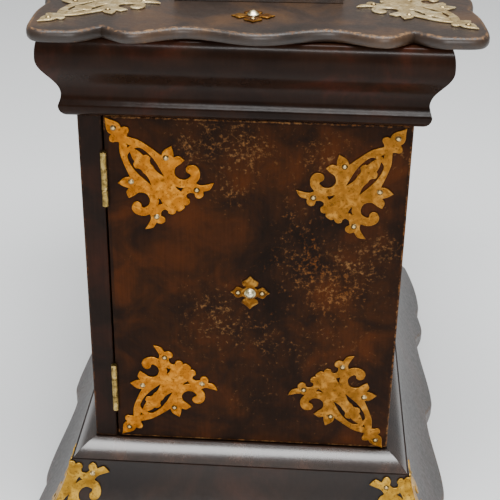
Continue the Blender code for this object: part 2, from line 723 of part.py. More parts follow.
def corner_overhang():
    """How far the base's scalloped edge stands out on the line of a front mitre."""
    outline = scalloped_outline(BASE_OVERHANG, BASE_OVERHANG)
    for (x, y), (next_x, next_y) in zip(outline, outline[1:]):
        before = x - BODY_WIDTH / 2 + y + BODY_DEPTH / 2
        after = next_x - BODY_WIDTH / 2 + next_y + BODY_DEPTH / 2
        if before <= 0 <= after:
            return x - BODY_WIDTH / 2 + (next_x - x) * before / (before - after)


def fold_scale(walk):
    """What brings the mount's length to the mitre between the bead and the lobe's edge."""
    room = between(walk, corner_overhang(), 3, 0) - FOLD_START - FOLD_TIP_CLEARANCE
    return room / MOUNT_LENGTH


def between(walk, value, key, wanted):
    """Read one column of the walk at a value of another one."""
    for first, second in zip(walk, walk[1:]):
        if value <= second[key] or second is walk[-1]:
            share = (value - first[key]) / (second[key] - first[key])
            return first[wanted] + (second[wanted] - first[wanted]) * share


def fold_point(walk, u, v, lift):
    """Lay a point of the flat mount on the skirt beside the mitre, with the shell end up."""
    along_mitre = FOLD_START + (MOUNT_LENGTH - u) * fold_scale(walk)
    down = between(walk, along_mitre, 0, 1)
    step = 0.0005
    ahead = min(along_mitre + step, walk[-1][0])
    before = ahead - step
    drop = (between(walk, ahead, 0, 1) - between(walk, before, 0, 1)) / step
    out = (skirt_overhang(between(walk, ahead, 0, 2)) - skirt_overhang(between(walk, before, 0, 2))) / step
    height_there = between(walk, along_mitre, 0, 2)
    inward = abs(v) * drop
    down = min(down + abs(v) * out, walk[-1][1])
    height = between(walk, down, 1, 2)
    slope = (skirt_overhang(height - step) - skirt_overhang(height + step)) / (2 * step)
    lean = math.atan(slope)
    across = skirt_overhang(height_there) - inward
    outward = skirt_overhang(height) + lift * math.cos(lean)
    if abs(v) < 0.00001:
        across += lift * math.cos(lean)
    return across, outward, height + lift * math.sin(lean)


def folded_mesh(name, right):
    """The mount bent over a front mitre; right is 1 or -1."""
    mesh = filled_mesh(name, mount_loops(), MOUNT_THICKNESS)
    shape = bmesh.new()
    shape.from_mesh(mesh)
    cuts = [((0, 0, 0), (0, 1, 0))]
    cuts += [((MOUNT_LENGTH * step / FOLD_STRIPS, 0, 0), (1, 0, 0)) for step in range(1, FOLD_STRIPS)]
    for point, normal in cuts:
        geometry = list(shape.verts) + list(shape.edges) + list(shape.faces)
        bmesh.ops.bisect_plane(shape, geom=geometry, plane_co=point, plane_no=normal)
    bmesh.ops.triangulate(shape, faces=shape.faces)
    walk = skirt_walk()
    for vertex in shape.verts:
        u, v, layer = vertex.co
        lift = FOLD_LIFT + (MOUNT_THICKNESS if layer > 0 else 0)
        across, outward, height = fold_point(walk, u, v, lift)
        if v > 0:
            vertex.co = (right * (BODY_WIDTH / 2 + outward), -(BODY_DEPTH / 2 + across), height)
        else:
            vertex.co = (right * (BODY_WIDTH / 2 + across), -(BODY_DEPTH / 2 + outward), height)
    bmesh.ops.recalc_face_normals(shape, faces=shape.faces)
    shape.to_mesh(mesh)
    shape.free()
    return mesh


def fold_nail_frame(u, v, right):
    """Where a nail of a folded mount stands and which way its head points."""
    walk = skirt_walk()
    low = fold_point(walk, u, v, FOLD_LIFT)
    high = fold_point(walk, u, v, FOLD_LIFT + MOUNT_THICKNESS)

    def placed(point):
        across, outward, height = point
        if v > 0:
            return Vector((right * (BODY_WIDTH / 2 + outward), -(BODY_DEPTH / 2 + across), height))
        return Vector((right * (BODY_WIDTH / 2 + across), -(BODY_DEPTH / 2 + outward), height))
    normal = (placed(high) - placed(low)).normalized()
    axis = normal.orthogonal().normalized()
    return plane_frame(placed(low), axis, normal)


def make_base_mounts():
    for side, right in (("left", -1), ("right", 1)):
        name = "base_mount_" + side
        mount = add_piece(name, folded_mesh(name, right), BRASS)
        for number, (u, v) in enumerate(mount_nails()):
            nail = add_cutter(name + " nail " + str(number), nail_mesh(name + " nail"))
            nail.matrix_local = fold_nail_frame(u, v, right)
            boolean(mount, nail, "UNION")


clear_scene()
parts = new_collection("vanity box")
cutters = new_collection("vanity box cutters")
make_base()
make_cornice()
side_left = make_body()
door_board, door_pivot = make_door()
make_hinges(side_left, door_board, door_pivot)
make_door_mounts(door_pivot)
top_pivot = make_top()
make_top_mounts(top_pivot)
make_rosettes(door_pivot, top_pivot)
make_base_mounts()
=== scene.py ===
import json
import math

import bmesh
import bpy
from mathutils import Matrix, Vector, kdtree, noise

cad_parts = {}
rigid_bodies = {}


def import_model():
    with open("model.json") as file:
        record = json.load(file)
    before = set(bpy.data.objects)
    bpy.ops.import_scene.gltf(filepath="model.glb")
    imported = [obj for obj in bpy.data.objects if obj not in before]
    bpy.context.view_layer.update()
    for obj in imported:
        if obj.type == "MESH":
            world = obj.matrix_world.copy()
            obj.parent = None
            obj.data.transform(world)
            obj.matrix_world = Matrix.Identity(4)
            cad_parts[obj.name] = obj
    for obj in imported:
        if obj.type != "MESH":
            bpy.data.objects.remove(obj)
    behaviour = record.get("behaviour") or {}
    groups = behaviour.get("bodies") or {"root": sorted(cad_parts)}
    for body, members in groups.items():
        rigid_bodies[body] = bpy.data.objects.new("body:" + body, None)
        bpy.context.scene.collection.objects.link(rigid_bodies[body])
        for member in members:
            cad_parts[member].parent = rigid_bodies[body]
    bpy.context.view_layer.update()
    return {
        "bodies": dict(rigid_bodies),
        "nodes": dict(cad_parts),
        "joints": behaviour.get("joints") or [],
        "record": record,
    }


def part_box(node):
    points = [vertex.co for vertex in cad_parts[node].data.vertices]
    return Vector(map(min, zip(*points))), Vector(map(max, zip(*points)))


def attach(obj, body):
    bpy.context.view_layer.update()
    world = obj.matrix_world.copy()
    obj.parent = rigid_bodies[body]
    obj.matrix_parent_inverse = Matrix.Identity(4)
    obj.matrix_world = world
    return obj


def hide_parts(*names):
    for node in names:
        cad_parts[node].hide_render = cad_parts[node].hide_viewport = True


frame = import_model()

# Side boards: softwood planed flat, ebonised with stain and brushed with dark shellac, and
# glued between the base and the cornice. The left one shows its edge as a stile beside the
# door, and the door covers the edge of the right one. Hands have rubbed the arrises brown.
BOARD_ROUNDING = 0.0009
RUBBED_RIM = 0.0020
SHARP_ANGLE = math.radians(38)
BODY_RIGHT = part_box("side_right")[1].x
BODY_FRONT, BODY_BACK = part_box("side_left")[0].y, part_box("side_left")[1].y
BODY_LOW, BODY_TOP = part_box("side_left")[0].z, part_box("side_left")[1].z


def linear(color):
    """An sRGB hex value as linear red, green, blue and alpha."""
    shares = [int(color[place:place + 2], 16) / 255 for place in (1, 3, 5)]
    return [share / 12.92 if share <= 0.04045 else ((share + 0.055) / 1.055) ** 2.4
            for share in shares] + [1]


def add_node(tree, kind, settings=None):
    """Adds a shader node. A setting names a socket, a property, or the stops of a colour ramp;
    a socket's value may be the output of another node."""
    node = tree.nodes.new("ShaderNode" + kind)
    for name, value in (settings or {}).items():
        if name == "stops":
            stops = node.color_ramp.elements
            for stop, (position, color) in zip((stops[0], stops[1]), (value[0], value[-1])):
                stop.position, stop.color = position, linear(color)
            for position, color in value[1:-1]:
                stops.new(position).color = linear(color)
        elif isinstance(value, bpy.types.NodeSocket):
            tree.links.new(value, node.inputs[name])
        elif isinstance(name, int) or name in node.inputs:
            node.inputs[name].default_value = value
        else:
            setattr(node, name, value)
    return node


def per_metre(millimetres):
    """The pattern scale that gives features of a real size."""
    return 1000 / millimetres


def new_finish(name):
    """A bare material with its tree, its shader and the place on the object."""
    material = bpy.data.materials.new(name)
    material.use_nodes = True
    tree = material.node_tree
    return material, tree, tree.nodes["Principled BSDF"], add_node(tree, "TexCoord").outputs["Object"]


def ebonised_wood(name, stain, worn, patch, sheen, gloss, flaked=False, film=0.35):
    """Shellac over black-stained softwood. The stain clouds over some centimetres, the brushed
    film is glossy but uneven, and it is rubbed through to brown wood along the arrises; where
    it has blistered it flakes off in specks. Real specks are 0.5 mm, drawn here about 1.5 mm."""
    material, tree, shader, place = new_finish(name)
    clouds = add_node(tree, "TexNoise", {"Vector": place, "Scale": per_metre(patch), "Detail": 5.0,
                                         "Roughness": 0.62, "Distortion": 0.5})
    cloud_level = clouds.outputs["Fac"]
    if flaked:
        warm = add_node(tree, "Attribute", {"attribute_name": "warmth"}).outputs["Fac"]
        cloud_level = add_node(tree, "Math", {"operation": "MULTIPLY_ADD", 0: warm, 1: 0.24,
                                              2: cloud_level}).outputs[0]
    color = add_node(tree, "ValToRGB", {"stops": stain, "Fac": cloud_level}).outputs["Color"]
    stretched = add_node(tree, "Mapping", {"Vector": place, "Scale": (1, 1, 0.05)}).outputs[0]
    grain = add_node(tree, "TexNoise", {"Vector": stretched, "Scale": per_metre(1.6), "Detail": 3.0})
    grain_tone = add_node(tree, "ValToRGB", {"stops": [(0.35, "#C6C6C6"), (0.65, "#FFFFFF")],
                                             "Fac": grain.outputs["Fac"]})
    color = add_node(tree, "Mix", {"data_type": "RGBA", "blend_type": "MULTIPLY", 0: 0.4, 6: color,
                                   7: grain_tone.outputs["Color"]}).outputs[2]
    grit = add_node(tree, "TexNoise", {"Vector": place, "Scale": per_metre(2.6), "Detail": 6.0,
                                       "Roughness": 0.72}).outputs["Fac"]
    edge = add_node(tree, "Attribute", {"attribute_name": "wear"}).outputs["Fac"]
    rubbed = add_node(tree, "Math", {"operation": "MULTIPLY_ADD", 0: edge, 1: 0.28, 2: grit}).outputs[0]
    bared = add_node(tree, "MapRange", {"Value": rubbed, "From Min": 0.74, "From Max": 0.92}).outputs[0]
    if flaked:
        loose = add_node(tree, "Attribute", {"attribute_name": "flaking"}).outputs["Fac"]
        lifted = add_node(tree, "Math", {"operation": "MULTIPLY_ADD", 0: loose, 1: 0.19, 2: grit}).outputs[0]
        specks = add_node(tree, "MapRange", {"Value": lifted, "From Min": 0.69, "From Max": 0.86}).outputs[0]
        bared = add_node(tree, "Math", {"operation": "MAXIMUM", 0: bared, 1: specks}).outputs[0]
        bent = add_node(tree, "Mix", {"data_type": "VECTOR", 0: 0.018, 4: place,
                                      5: clouds.outputs["Color"]}).outputs[1]
        cells = add_node(tree, "TexVoronoi", {"feature": "DISTANCE_TO_EDGE", "Vector": bent,
                                              "Scale": per_metre(13)}).outputs["Distance"]
        cracks = add_node(tree, "MapRange", {"Value": cells, "From Min": 0.05, "From Max": 0.0,
                                             "To Max": 0.55}).outputs[0]
        opened = add_node(tree, "MapRange", {"Value": lifted, "From Min": 0.62, "From Max": 0.74}).outputs[0]
        cracked = add_node(tree, "Math", {"operation": "MULTIPLY", 0: cracks, 1: opened}).outputs[0]
        bared = add_node(tree, "Math", {"operation": "MAXIMUM", 0: bared, 1: cracked}).outputs[0]
    bare_tone = add_node(tree, "ValToRGB", {"stops": worn, "Fac": clouds.outputs["Fac"]}).outputs["Color"]
    color = add_node(tree, "Mix", {"data_type": "RGBA", 0: bared, 6: color, 7: bare_tone}).outputs[2]
    tree.links.new(color, shader.inputs["Base Color"])
    dull = add_node(tree, "MapRange", {"Value": grit, "From Min": 0.3, "From Max": 0.7, "To Min": sheen,
                                       "To Max": sheen + 0.45 * film}).outputs[0]
    matt = add_node(tree, "Math", {"operation": "MULTIPLY_ADD", 0: bared, 1: 0.3, 2: dull}).outputs[0]
    tree.links.new(matt, shader.inputs["Roughness"])
    brush = add_node(tree, "TexNoise", {"Vector": place, "Scale": per_metre(9), "Detail": 2.0})
    uneven = add_node(tree, "Math", {"operation": "MULTIPLY_ADD", 0: grit, 1: 0.25,
                                     2: brush.outputs["Fac"]}).outputs[0]
    relief = add_node(tree, "Bump", {"Strength": film, "Distance": 0.0006, "Height": uneven})
    tree.links.new(relief.outputs[0], shader.inputs["Normal"])
    shader.inputs["Specular IOR Level"].default_value = gloss
    return material


def block(low, high):
    """A plain box between two corners."""
    shape = bmesh.new()
    bmesh.ops.create_cube(shape, size=1)
    bmesh.ops.scale(shape, vec=high - low, verts=shape.verts)
    bmesh.ops.translate(shape, vec=(high + low) / 2, verts=shape.verts)
    return shape


def worn_block(low, high, rounding, rim):
    """A board with rounded arrises; wear is 1 on the arrises and 0 beyond a rim beside them."""
    shape = block(low, high)
    bmesh.ops.bevel(shape, geom=shape.edges[:], offset=rounding, segments=3, profile=0.5, affect="EDGES")
    flat = sorted(shape.faces, key=lambda face: face.calc_area())[-6:]
    wear = shape.verts.layers.float.new("wear")
    for vertex in shape.verts:
        vertex[wear] = 1.0
    narrow = min(high - low) / 2 - rounding
    bmesh.ops.inset_individual(shape, faces=flat, thickness=min(rim, narrow * 0.8))
    for face in flat:
        for vertex in face.verts:
            vertex[wear] = 0.0
    return shape


def add_piece(name, shape, materials, body, slot, *nodes):
    """Makes a piece from a finished shape, on a body and in place of its CAD nodes."""
    mesh = bpy.data.meshes.new(name)
    shape.to_mesh(mesh)
    shape.free()
    for material in materials:
        mesh.materials.append(material)
    mesh.shade_smooth()
    mesh.set_sharp_from_angle(angle=SHARP_ANGLE)
    piece = bpy.data.objects.new(name, mesh)
    bpy.context.scene.collection.objects.link(piece)
    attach(piece, body)
    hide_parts(*nodes)


def cut(shape, cutter):
    """Takes a closed cutter out of a closed shape, exactly."""
    both = []
    for part in (shape, cutter):
        mesh = bpy.data.meshes.new("cut")
        part.to_mesh(mesh)
        part.free()
        both.append(bpy.data.objects.new("cut", mesh))
        bpy.context.scene.collection.objects.link(both[-1])
    modifier = both[0].modifiers.new("cut", "BOOLEAN")
    modifier.operation = "DIFFERENCE"
    modifier.solver = "EXACT"
    modifier.object = both[1]
    bpy.context.view_layer.update()
    evaluated = both[0].evaluated_get(bpy.context.evaluated_depsgraph_get())
    result = bmesh.new()
    result.from_mesh(evaluated.to_mesh())
    for made in both:
        bpy.data.objects.remove(made)
    return result


# Hinge seats: a groove for each hinge's barrel, cut in the edge of the stile and in the edge
# of the door before either is lacquered.
BARREL_RADIUS = 0.0020
SEAT_CLEARANCE = 0.0003


def heights(node):
    """The lowest and highest level of a CAD solid."""
    low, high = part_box(node)
    return low.z, high.z


def seated(board, leaf_kind):
    """A board with both grooves; leaf_kind says whose leaves lie in them."""
    for end in ("lower", "upper"):
        low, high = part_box(f"hinge_leaf_{leaf_kind}_{end}")
        bottom, top = heights("hinge_leaf_fixed_" + end)
        middle = Vector(((low.x + high.x) / 2, low.y + BARREL_RADIUS, (bottom + top) / 2))
        size = Vector((BARREL_RADIUS, BARREL_RADIUS, (top - bottom) / 2)) * 2
        size += Vector((SEAT_CLEARANCE, 0, SEAT_CLEARANCE)) * 2
        board = cut(board, block(middle - size / 2, middle + size / 2))
    return board


side_lacquer = ebonised_wood("brushed shellac on side boards",
                             [(0.36, "#130C09"), (0.50, "#1D130E"), (0.68, "#2E180F")],
                             [(0.35, "#3A2417"), (0.65, "#5A3A22")], 52, 0.30, 0.07)
left_board = seated(worn_block(*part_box("side_left"), BOARD_ROUNDING, RUBBED_RIM), "fixed")
add_piece("left_board", left_board, [side_lacquer], "cabinet", "dark_lacquer", "side_left")
right_board = worn_block(*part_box("side_right"), BOARD_ROUNDING, RUBBED_RIM)
add_piece("right_board", right_board, [side_lacquer], "cabinet", "dark_lacquer", "side_right")

# Back, floor and ceiling: thin softwood panels. The back is lacquered like the sides, and
# the inside is left as stained bare wood, because no one sees it with the door shut.
PANEL_ROUNDING = 0.0004


def stained_softwood(name):
    """Bare pine with a brown wash: dull, with long growth rings a few millimetres apart."""
    material, tree, shader, place = new_finish(name)
    stretched = add_node(tree, "Mapping", {"Vector": place, "Scale": (1, 0.08, 0.08)}).outputs[0]
    rings = add_node(tree, "TexNoise", {"Vector": stretched, "Scale": per_metre(6), "Detail": 5.0,
                                        "Distortion": 0.4}).outputs["Fac"]
    tone = add_node(tree, "ValToRGB", {"stops": [(0.35, "#2E1D13"), (0.5, "#4C3120"), (0.68, "#6B482E")],
                                       "Fac": rings})
    tree.links.new(tone.outputs["Color"], shader.inputs["Base Color"])
    relief = add_node(tree, "Bump", {"Strength": 0.4, "Distance": 0.0004, "Height": rings})
    tree.links.new(relief.outputs[0], shader.inputs["Normal"])
    dull = add_node(tree, "MapRange", {"Value": rings, "To Min": 0.6, "To Max": 0.8})
    tree.links.new(dull.outputs[0], shader.inputs["Roughness"])
    return material


inner_wood = stained_softwood("brown-washed pine inside")
for panel, finish, slot in (("back_panel", side_lacquer, "dark_lacquer"),
                            ("floor_panel", inner_wood, "inner_wood"),
                            ("ceiling_panel", inner_wood, "inner_wood")):
    plate = worn_block(*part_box(panel), PANEL_ROUNDING, RUBBED_RIM)
    add_piece(panel + "_board", plate, [finish], "cabinet", slot, panel)

# Base skirt: four lengths of flaring moulding, mitred at the corners, sawn along the lower
# edge to a row of scallops with sharp cusps, and lacquered. Its slopes catch the light grey.
MITRE_GAP = 0.0003
SKIRT_TOP = heights("base_bead_front")[0] - MITRE_GAP
SKIRT_RIM_HEIGHT = 0.005
SKIRT_SHOULDER = 0.015
SKIRT_SPARE = 0.002
SKIRT_FLARE_POWER = 1.6
SKIRT_ROWS = 18
SKIRT_RIM_ROUNDING = 0.0016
SKIRT_FOOT_INSET, SKIRT_FOOT_CHAMFER = 0.0001, 0.0007
SEAT_DEPTH = 0.014
BASE_OVERHANG = BODY_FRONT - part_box("skirt_front")[0].y
FLARE_DEPTH = BASE_OVERHANG + SKIRT_SPARE - SKIRT_SHOULDER
FLARE_HEIGHT = SKIRT_TOP - SKIRT_RIM_HEIGHT
# Along a front edge from its middle, and how far troughs and cusps lie inside the crests
EDGE_HALF = 0.1297
WAVE, CREST, CUSP, LOBE = 0.0400, 0.0705, 0.0870, 0.1050
WAVE_DEPTH, CUSP_DEPTH = 0.0105, 0.0110
# Along a side edge, from the nearer corner of the body; the waves lean forward
SIDE_LOBE, SIDE_CUSP, SIDE_CREST, SIDE_FRONT_WAVE, SIDE_BACK_WAVE = 0.0085, 0.0320, 0.0535, 0.1280, 0.0900
SIDE_CUSP_DEPTH, SIDE_WAVE_DEPTH = 0.0036, 0.0080
FRONT_LOBE_SQUARENESS, BACK_LOBE_SQUARENESS = 5.0, 2.4
SCALLOP_STEPS = 16


def level_run(start, end, steps):
    """A wave between a crest and a trough, level at both ends."""
    return [(start[0] + (end[0] - start[0]) * step / steps,
             start[1] + (end[1] - start[1]) * (1 - math.cos(math.pi * step / steps)) / 2)
            for step in range(1, steps + 1)]


def falling_run(crest, cusp, steps):
    """Leaves the crest level and falls ever faster to the cusp."""
    return [(crest[0] + (cusp[0] - crest[0]) * step / steps,
             crest[1] + (cusp[1] - crest[1]) * (1 - math.cos(math.pi / 2 * step / steps)))
            for step in range(1, steps + 1)]


def corner_lobe(crown, side_crown, squareness):
    """The lobe between the crown on a front or back edge and the one on a side edge."""
    lobe = []
    for step in range(1, SCALLOP_STEPS):
        angle = math.pi / 2 * step / SCALLOP_STEPS
        lobe.append((crown[0] + (side_crown[0] - crown[0]) * math.sin(angle) ** (2 / squareness),
                     crown[1] + (side_crown[1] - crown[1]) * (1 - math.cos(angle) ** (2 / squareness))))
    return lobe


def scalloped_outline(side_overhang, end_overhang):
    """The counterclockwise outline, from the middle of the front edge."""
    half_width, half_depth = BODY_RIGHT + side_overhang, BODY_BACK + end_overhang
    spread = half_width / EDGE_HALF
    edge = [(0, 0)]
    edge += level_run(edge[-1], (WAVE * spread, WAVE_DEPTH), SCALLOP_STEPS)
    edge += level_run(edge[-1], (CREST * spread, 0), SCALLOP_STEPS)
    edge += falling_run(edge[-1], (CUSP * spread, CUSP_DEPTH), SCALLOP_STEPS // 2)
    edge += falling_run((LOBE * spread, 0), edge[-1], SCALLOP_STEPS // 2)[-2::-1] + [(LOBE * spread, 0)]
    side = [(SIDE_LOBE, 0)]
    side += falling_run(side[-1], (SIDE_CUSP, SIDE_CUSP_DEPTH), SCALLOP_STEPS // 2)
    side += falling_run((SIDE_CREST, 0), side[-1], SCALLOP_STEPS // 2)[-2::-1] + [(SIDE_CREST, 0)]
    depth = BODY_BACK - BODY_FRONT
    back_end = [(depth - along, inset) for along, inset in reversed(side)]
    side += level_run(side[-1], (SIDE_FRONT_WAVE, SIDE_WAVE_DEPTH), SCALLOP_STEPS)
    side += level_run(side[-1], (depth / 2, 0), SCALLOP_STEPS)
    side += level_run(side[-1], (depth - SIDE_BACK_WAVE, SIDE_WAVE_DEPTH), SCALLOP_STEPS)
    side += level_run(side[-1], back_end[0], SCALLOP_STEPS) + back_end[1:]
    front = [(along, inset - half_depth) for along, inset in edge]
    flank = [(half_width - inset, BODY_FRONT + along) for along, inset in side]
    back = [(x, -y) for x, y in reversed(front)]
    right = front + corner_lobe(front[-1], flank[0], FRONT_LOBE_SQUARENESS) + flank
    right += corner_lobe(back[0], flank[-1], BACK_LOBE_SQUARENESS)[::-1] + back
    return right + [(-x, y) for x, y in right[-2:0:-1]]


# Each side's outward direction, its distance from the middle, and half its width
SIDES = {"front": (Vector((0, -1, 0)), BODY_BACK, BODY_RIGHT),
         "back": (Vector((0, 1, 0)), BODY_BACK, BODY_RIGHT),
         "left": (Vector((-1, 0, 0)), BODY_RIGHT, BODY_BACK),
         "right": (Vector((1, 0, 0)), BODY_RIGHT, BODY_BACK)}


def join_rings(shape, rings):
    """Faces between closed rings of points, each and the next."""
    for ring, following in zip(rings, rings[1:]):
        for here in range(len(ring)):
            after = (here + 1) % len(ring)
            shape.faces.new((ring[here], ring[after], following[after], following[here]))


def mitred_length(side, stations, loop_at):
    """A length of moulding. loop_at gives (overhang, height, wear) round the section at a share
    of the half length; both ends are closed on the mitre."""
    outward, half, other = SIDES[side]
    along = outward.cross(Vector((0, 0, 1)))
    shape = bmesh.new()
    wear = shape.verts.layers.float.new("wear")
    rings = []
    for share in stations:
        ring = []
        for overhang, height, rubbed in loop_at(share):
            reach = share * (other + overhang - MITRE_GAP / 2)
            spot = outward * (half + overhang) + along * reach
            vertex = shape.verts.new((spot.x, spot.y, height))
            vertex[wear] = rubbed
            ring.append(vertex)
        rings.append(ring)
    join_rings(shape, rings)
    shape.faces.new(rings[0])
    shape.faces.new(rings[-1])
    bmesh.ops.recalc_face_normals(shape, faces=shape.faces)
    return shape


def skirt_height(overhang):
    """The height of the flaring face where it stands out that far."""
    share = max(0, overhang - SKIRT_SHOULDER) / FLARE_DEPTH
    return SKIRT_TOP - FLARE_HEIGHT * share ** (1 / SKIRT_FLARE_POWER)


def edge_reach(side):
    """The scalloped edge of one side, as (share of the half length, overhang) between the mitres."""
    outward, half, other = SIDES[side]
    along = outward.cross(Vector((0, 0, 1)))
    spots = []
    for x, y in scalloped_outline(BASE_OVERHANG, BASE_OVERHANG):
        overhang = Vector((x, y, 0)).dot(outward) - half
        if overhang > 0:
            spots.append((Vector((x, y, 0)).dot(along) / (other + overhang), overhang))
    spots.sort()
    inside = [spot for spot in spots if abs(spot[0]) < 1]
    ends = []
    for end in (-1, 1):
        beyond = min((spot for spot in spots if spot[0] * end >= 1), key=lambda spot: abs(spot[0]))
        last = inside[0] if end < 0 else inside[-1]
        ends.append((end, last[1] + (beyond[1] - last[1]) * (end - last[0]) / (beyond[0] - last[0])))
    return [ends[0], *inside, ends[1]]


def reach_at(edge, share):
    """The overhang of the scalloped edge at a share of the half length."""
    for (first, low_reach), (second, high_reach) in zip(edge, edge[1:]):
        if share <= second:
            return low_reach + (high_reach - low_reach) * (share - first) / (second - first)
    return edge[-1][1]


def skirt_loop(edge, share):
    """The skirt's section, cut off at the scalloped edge with a softened rim."""
    limit = reach_at(edge, share)
    crown = skirt_height(limit)
    inner = limit - SKIRT_RIM_ROUNDING
    loop = [(-SEAT_DEPTH, 0, 0), (limit - SKIRT_FOOT_INSET - SKIRT_FOOT_CHAMFER, 0, 0.6),
            (limit - SKIRT_FOOT_INSET, SKIRT_FOOT_CHAMFER, 0.8)]
    for step in range(5):
        bend = step / 4
        overhang = limit * (1 - bend * bend) + inner * bend * bend
        height = ((1 - bend) ** 2 * (crown - SKIRT_RIM_ROUNDING) + 2 * bend * (1 - bend) * crown
                  + bend * bend * skirt_height(inner))
        loop.append((overhang, height, 1.0 if 0 < step < 4 else 0.7))
    full = ((inner - SKIRT_SHOULDER) / FLARE_DEPTH) ** (1 / SKIRT_FLARE_POWER)
    for row in range(1, SKIRT_ROWS + 1):
        down = full * (1 - row / SKIRT_ROWS)
        overhang = SKIRT_SHOULDER + FLARE_DEPTH * down ** SKIRT_FLARE_POWER
        loop.append((overhang, SKIRT_TOP - FLARE_HEIGHT * down, 0.35 if row == 1 else 0.0))
    return loop + [(0, SKIRT_TOP, 0), (0, BODY_LOW - MITRE_GAP, 0), (-SEAT_DEPTH, BODY_LOW - MITRE_GAP, 0)]


base_lacquer = ebonised_wood("brushed shellac on the base",
                             [(0.34, "#160E0B"), (0.50, "#20150F"), (0.68, "#301D14")],
                             [(0.35, "#4A3627"), (0.65, "#6E543C")], 60, 0.30, 0.3)
for side in SIDES:
    edge = edge_reach(side)
    stations = sorted({share for share, overhang in edge} | {step / 60 for step in range(-59, 60)})
    skirt = mitred_length(side, stations, lambda share: skirt_loop(edge, share))
    add_piece("flared_skirt_" + side, skirt, [base_lacquer], "cabinet", "dark_lacquer", "skirt_" + side)

# Bead: a flattened quarter-round strip that covers the joint of the body and the skirt, mitred
# round the four sides, glued and pinned. Its smooth face takes the brightest light.
BEAD_OVERHANG = BODY_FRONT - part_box("base_bead_front")[0].y
BEAD_TOP_OVERHANG = 0.0008
BEAD_START, BEAD_END = math.radians(50), math.radians(75)
BEAD_LOW, BEAD_HIGH = heights("base_bead_front")
BEAD_STEPS = 14
# Stations along a bead or a cornice length, as shares of its half length
STRAIGHT_STATIONS = [step / 20 for step in range(-20, 21)]
bead_section = [(MITRE_GAP, BEAD_LOW, 0)]
for step in range(BEAD_STEPS + 1):
    turn = BEAD_START + (BEAD_END - BEAD_START) * step / BEAD_STEPS
    reach = (math.cos(turn) - math.cos(BEAD_END)) / (math.cos(BEAD_START) - math.cos(BEAD_END))
    climb = (math.sin(turn) - math.sin(BEAD_START)) / (math.sin(BEAD_END) - math.sin(BEAD_START))
    bead_section.append((BEAD_TOP_OVERHANG + (BEAD_OVERHANG - BEAD_TOP_OVERHANG) * reach,
                         BEAD_LOW + (BEAD_HIGH - BEAD_LOW) * climb, 0.05))
bead_section += [(MITRE_GAP, BEAD_HIGH, 0)]
bead_lacquer = ebonised_wood("brushed shellac on the bead",
                             [(0.34, "#1E1613"), (0.50, "#2B211C"), (0.68, "#402C22")],
                             [(0.35, "#4E3828"), (0.65, "#72563E")], 40, 0.20, 0.75, film=0.06)
for side in SIDES:
    bead = mitred_length(side, STRAIGHT_STATIONS, lambda share: bead_section)
    add_piece("quarter_round_" + side, bead, [bead_lacquer], "cabinet", "dark_lacquer", "base_bead_" + side)

# Cornice: one deep moulding planed from solid wood, with a small bead below, a straight neck,
# a cove and a heavy roll, mitred round the top of the body and lacquered dark.
CORNICE_LOW, CORNICE_HIGH = heights("cornice_front")
# Overhang and height in millimetres: fillet, bead, and the slope above it that catches light
CORNICE_FOOT = ((1.9, 0.0), (3.4, 0.2), (5.0, 0.8), (6.5, 1.8), (7.7, 3.2), (8.5, 4.8), (8.9, 6.4),
                (8.95, 7.6), (8.65, 8.6), (8.2, 9.7), (7.75, 10.9), (7.4, 12.1), (7.2, 13.3), (7.1, 14.5))
ROLL_TOP, ROLL_CROWN = 0.039, 0.0150
COVE_STEPS, ROLL_STEPS = 20, 10
ROLL = BODY_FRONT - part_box("cornice_front")[0].y
cornice_section = [(-SEAT_DEPTH, CORNICE_LOW, 0)]
cornice_section += [(overhang / 1000, CORNICE_LOW + height / 1000, 0.15)
                    for overhang, height in CORNICE_FOOT]
NECK, NECK_TOP = CORNICE_FOOT[-1][0] / 1000, CORNICE_FOOT[-1][1] / 1000
for step in range(1, COVE_STEPS + 1):
    share = step / COVE_STEPS
    rise = (1 - math.cos(math.pi * share)) / 2
    cornice_section.append((NECK + (ROLL - NECK) * rise,
                            CORNICE_LOW + NECK_TOP + (ROLL_TOP - NECK_TOP) * share, 0.3 * rise))
for step in range(1, ROLL_STEPS + 1):
    turn = math.pi / 2 * step / ROLL_STEPS
    level = CORNICE_LOW + ROLL_TOP + (CORNICE_HIGH - CORNICE_LOW - ROLL_TOP) * math.sin(turn)
    cornice_section.append((ROLL - (ROLL - ROLL_CROWN) * (1 - math.cos(turn)), level, 0))
cornice_section += [(-SEAT_DEPTH, CORNICE_HIGH, 0)]
cornice_lacquer = ebonised_wood("brushed shellac on the cornice",
                                [(0.36, "#170D08"), (0.52, "#23140C"), (0.66, "#38190E")],
                                [(0.35, "#33201A"), (0.65, "#573A2A")], 60, 0.16, 0.085, film=0.12)
for side in SIDES:
    cornice = mitred_length(side, STRAIGHT_STATIONS, lambda share: cornice_section)
    add_piece("moulded_cornice_" + side, cornice, [cornice_lacquer], "cabinet", "dark_lacquer",
              "cornice_" + side)

# Top board: a thin board sawn to the same scallops as the base, its edge rounded over, glued
# on top. The edge is rubbed and chipped through to brown wood, with a light worn arris.
TOP_LOW, TOP_HIGH = heights("top_board")
TOP_SIDE_OVERHANG, TOP_END_OVERHANG = 0.0297, 0.0260
TOP_TURN = math.radians(2.4)
# Rings of its rounded edge from below: inset from the outline, share of the thickness, wear
TOP_RINGS = ((0.0030, 0.0, 0.0), (0.0012, 0.05, 0.6), (0.0003, 0.2, 0.5), (0.0, 0.42, 0.3),
             (0.0001, 0.62, 0.3), (0.0005, 0.80, 0.6), (0.0013, 0.93, 1.0), (0.0024, 0.99, 1.0),
             (0.0036, 1.0, 0.5), (0.0075, 1.0, 0.0))


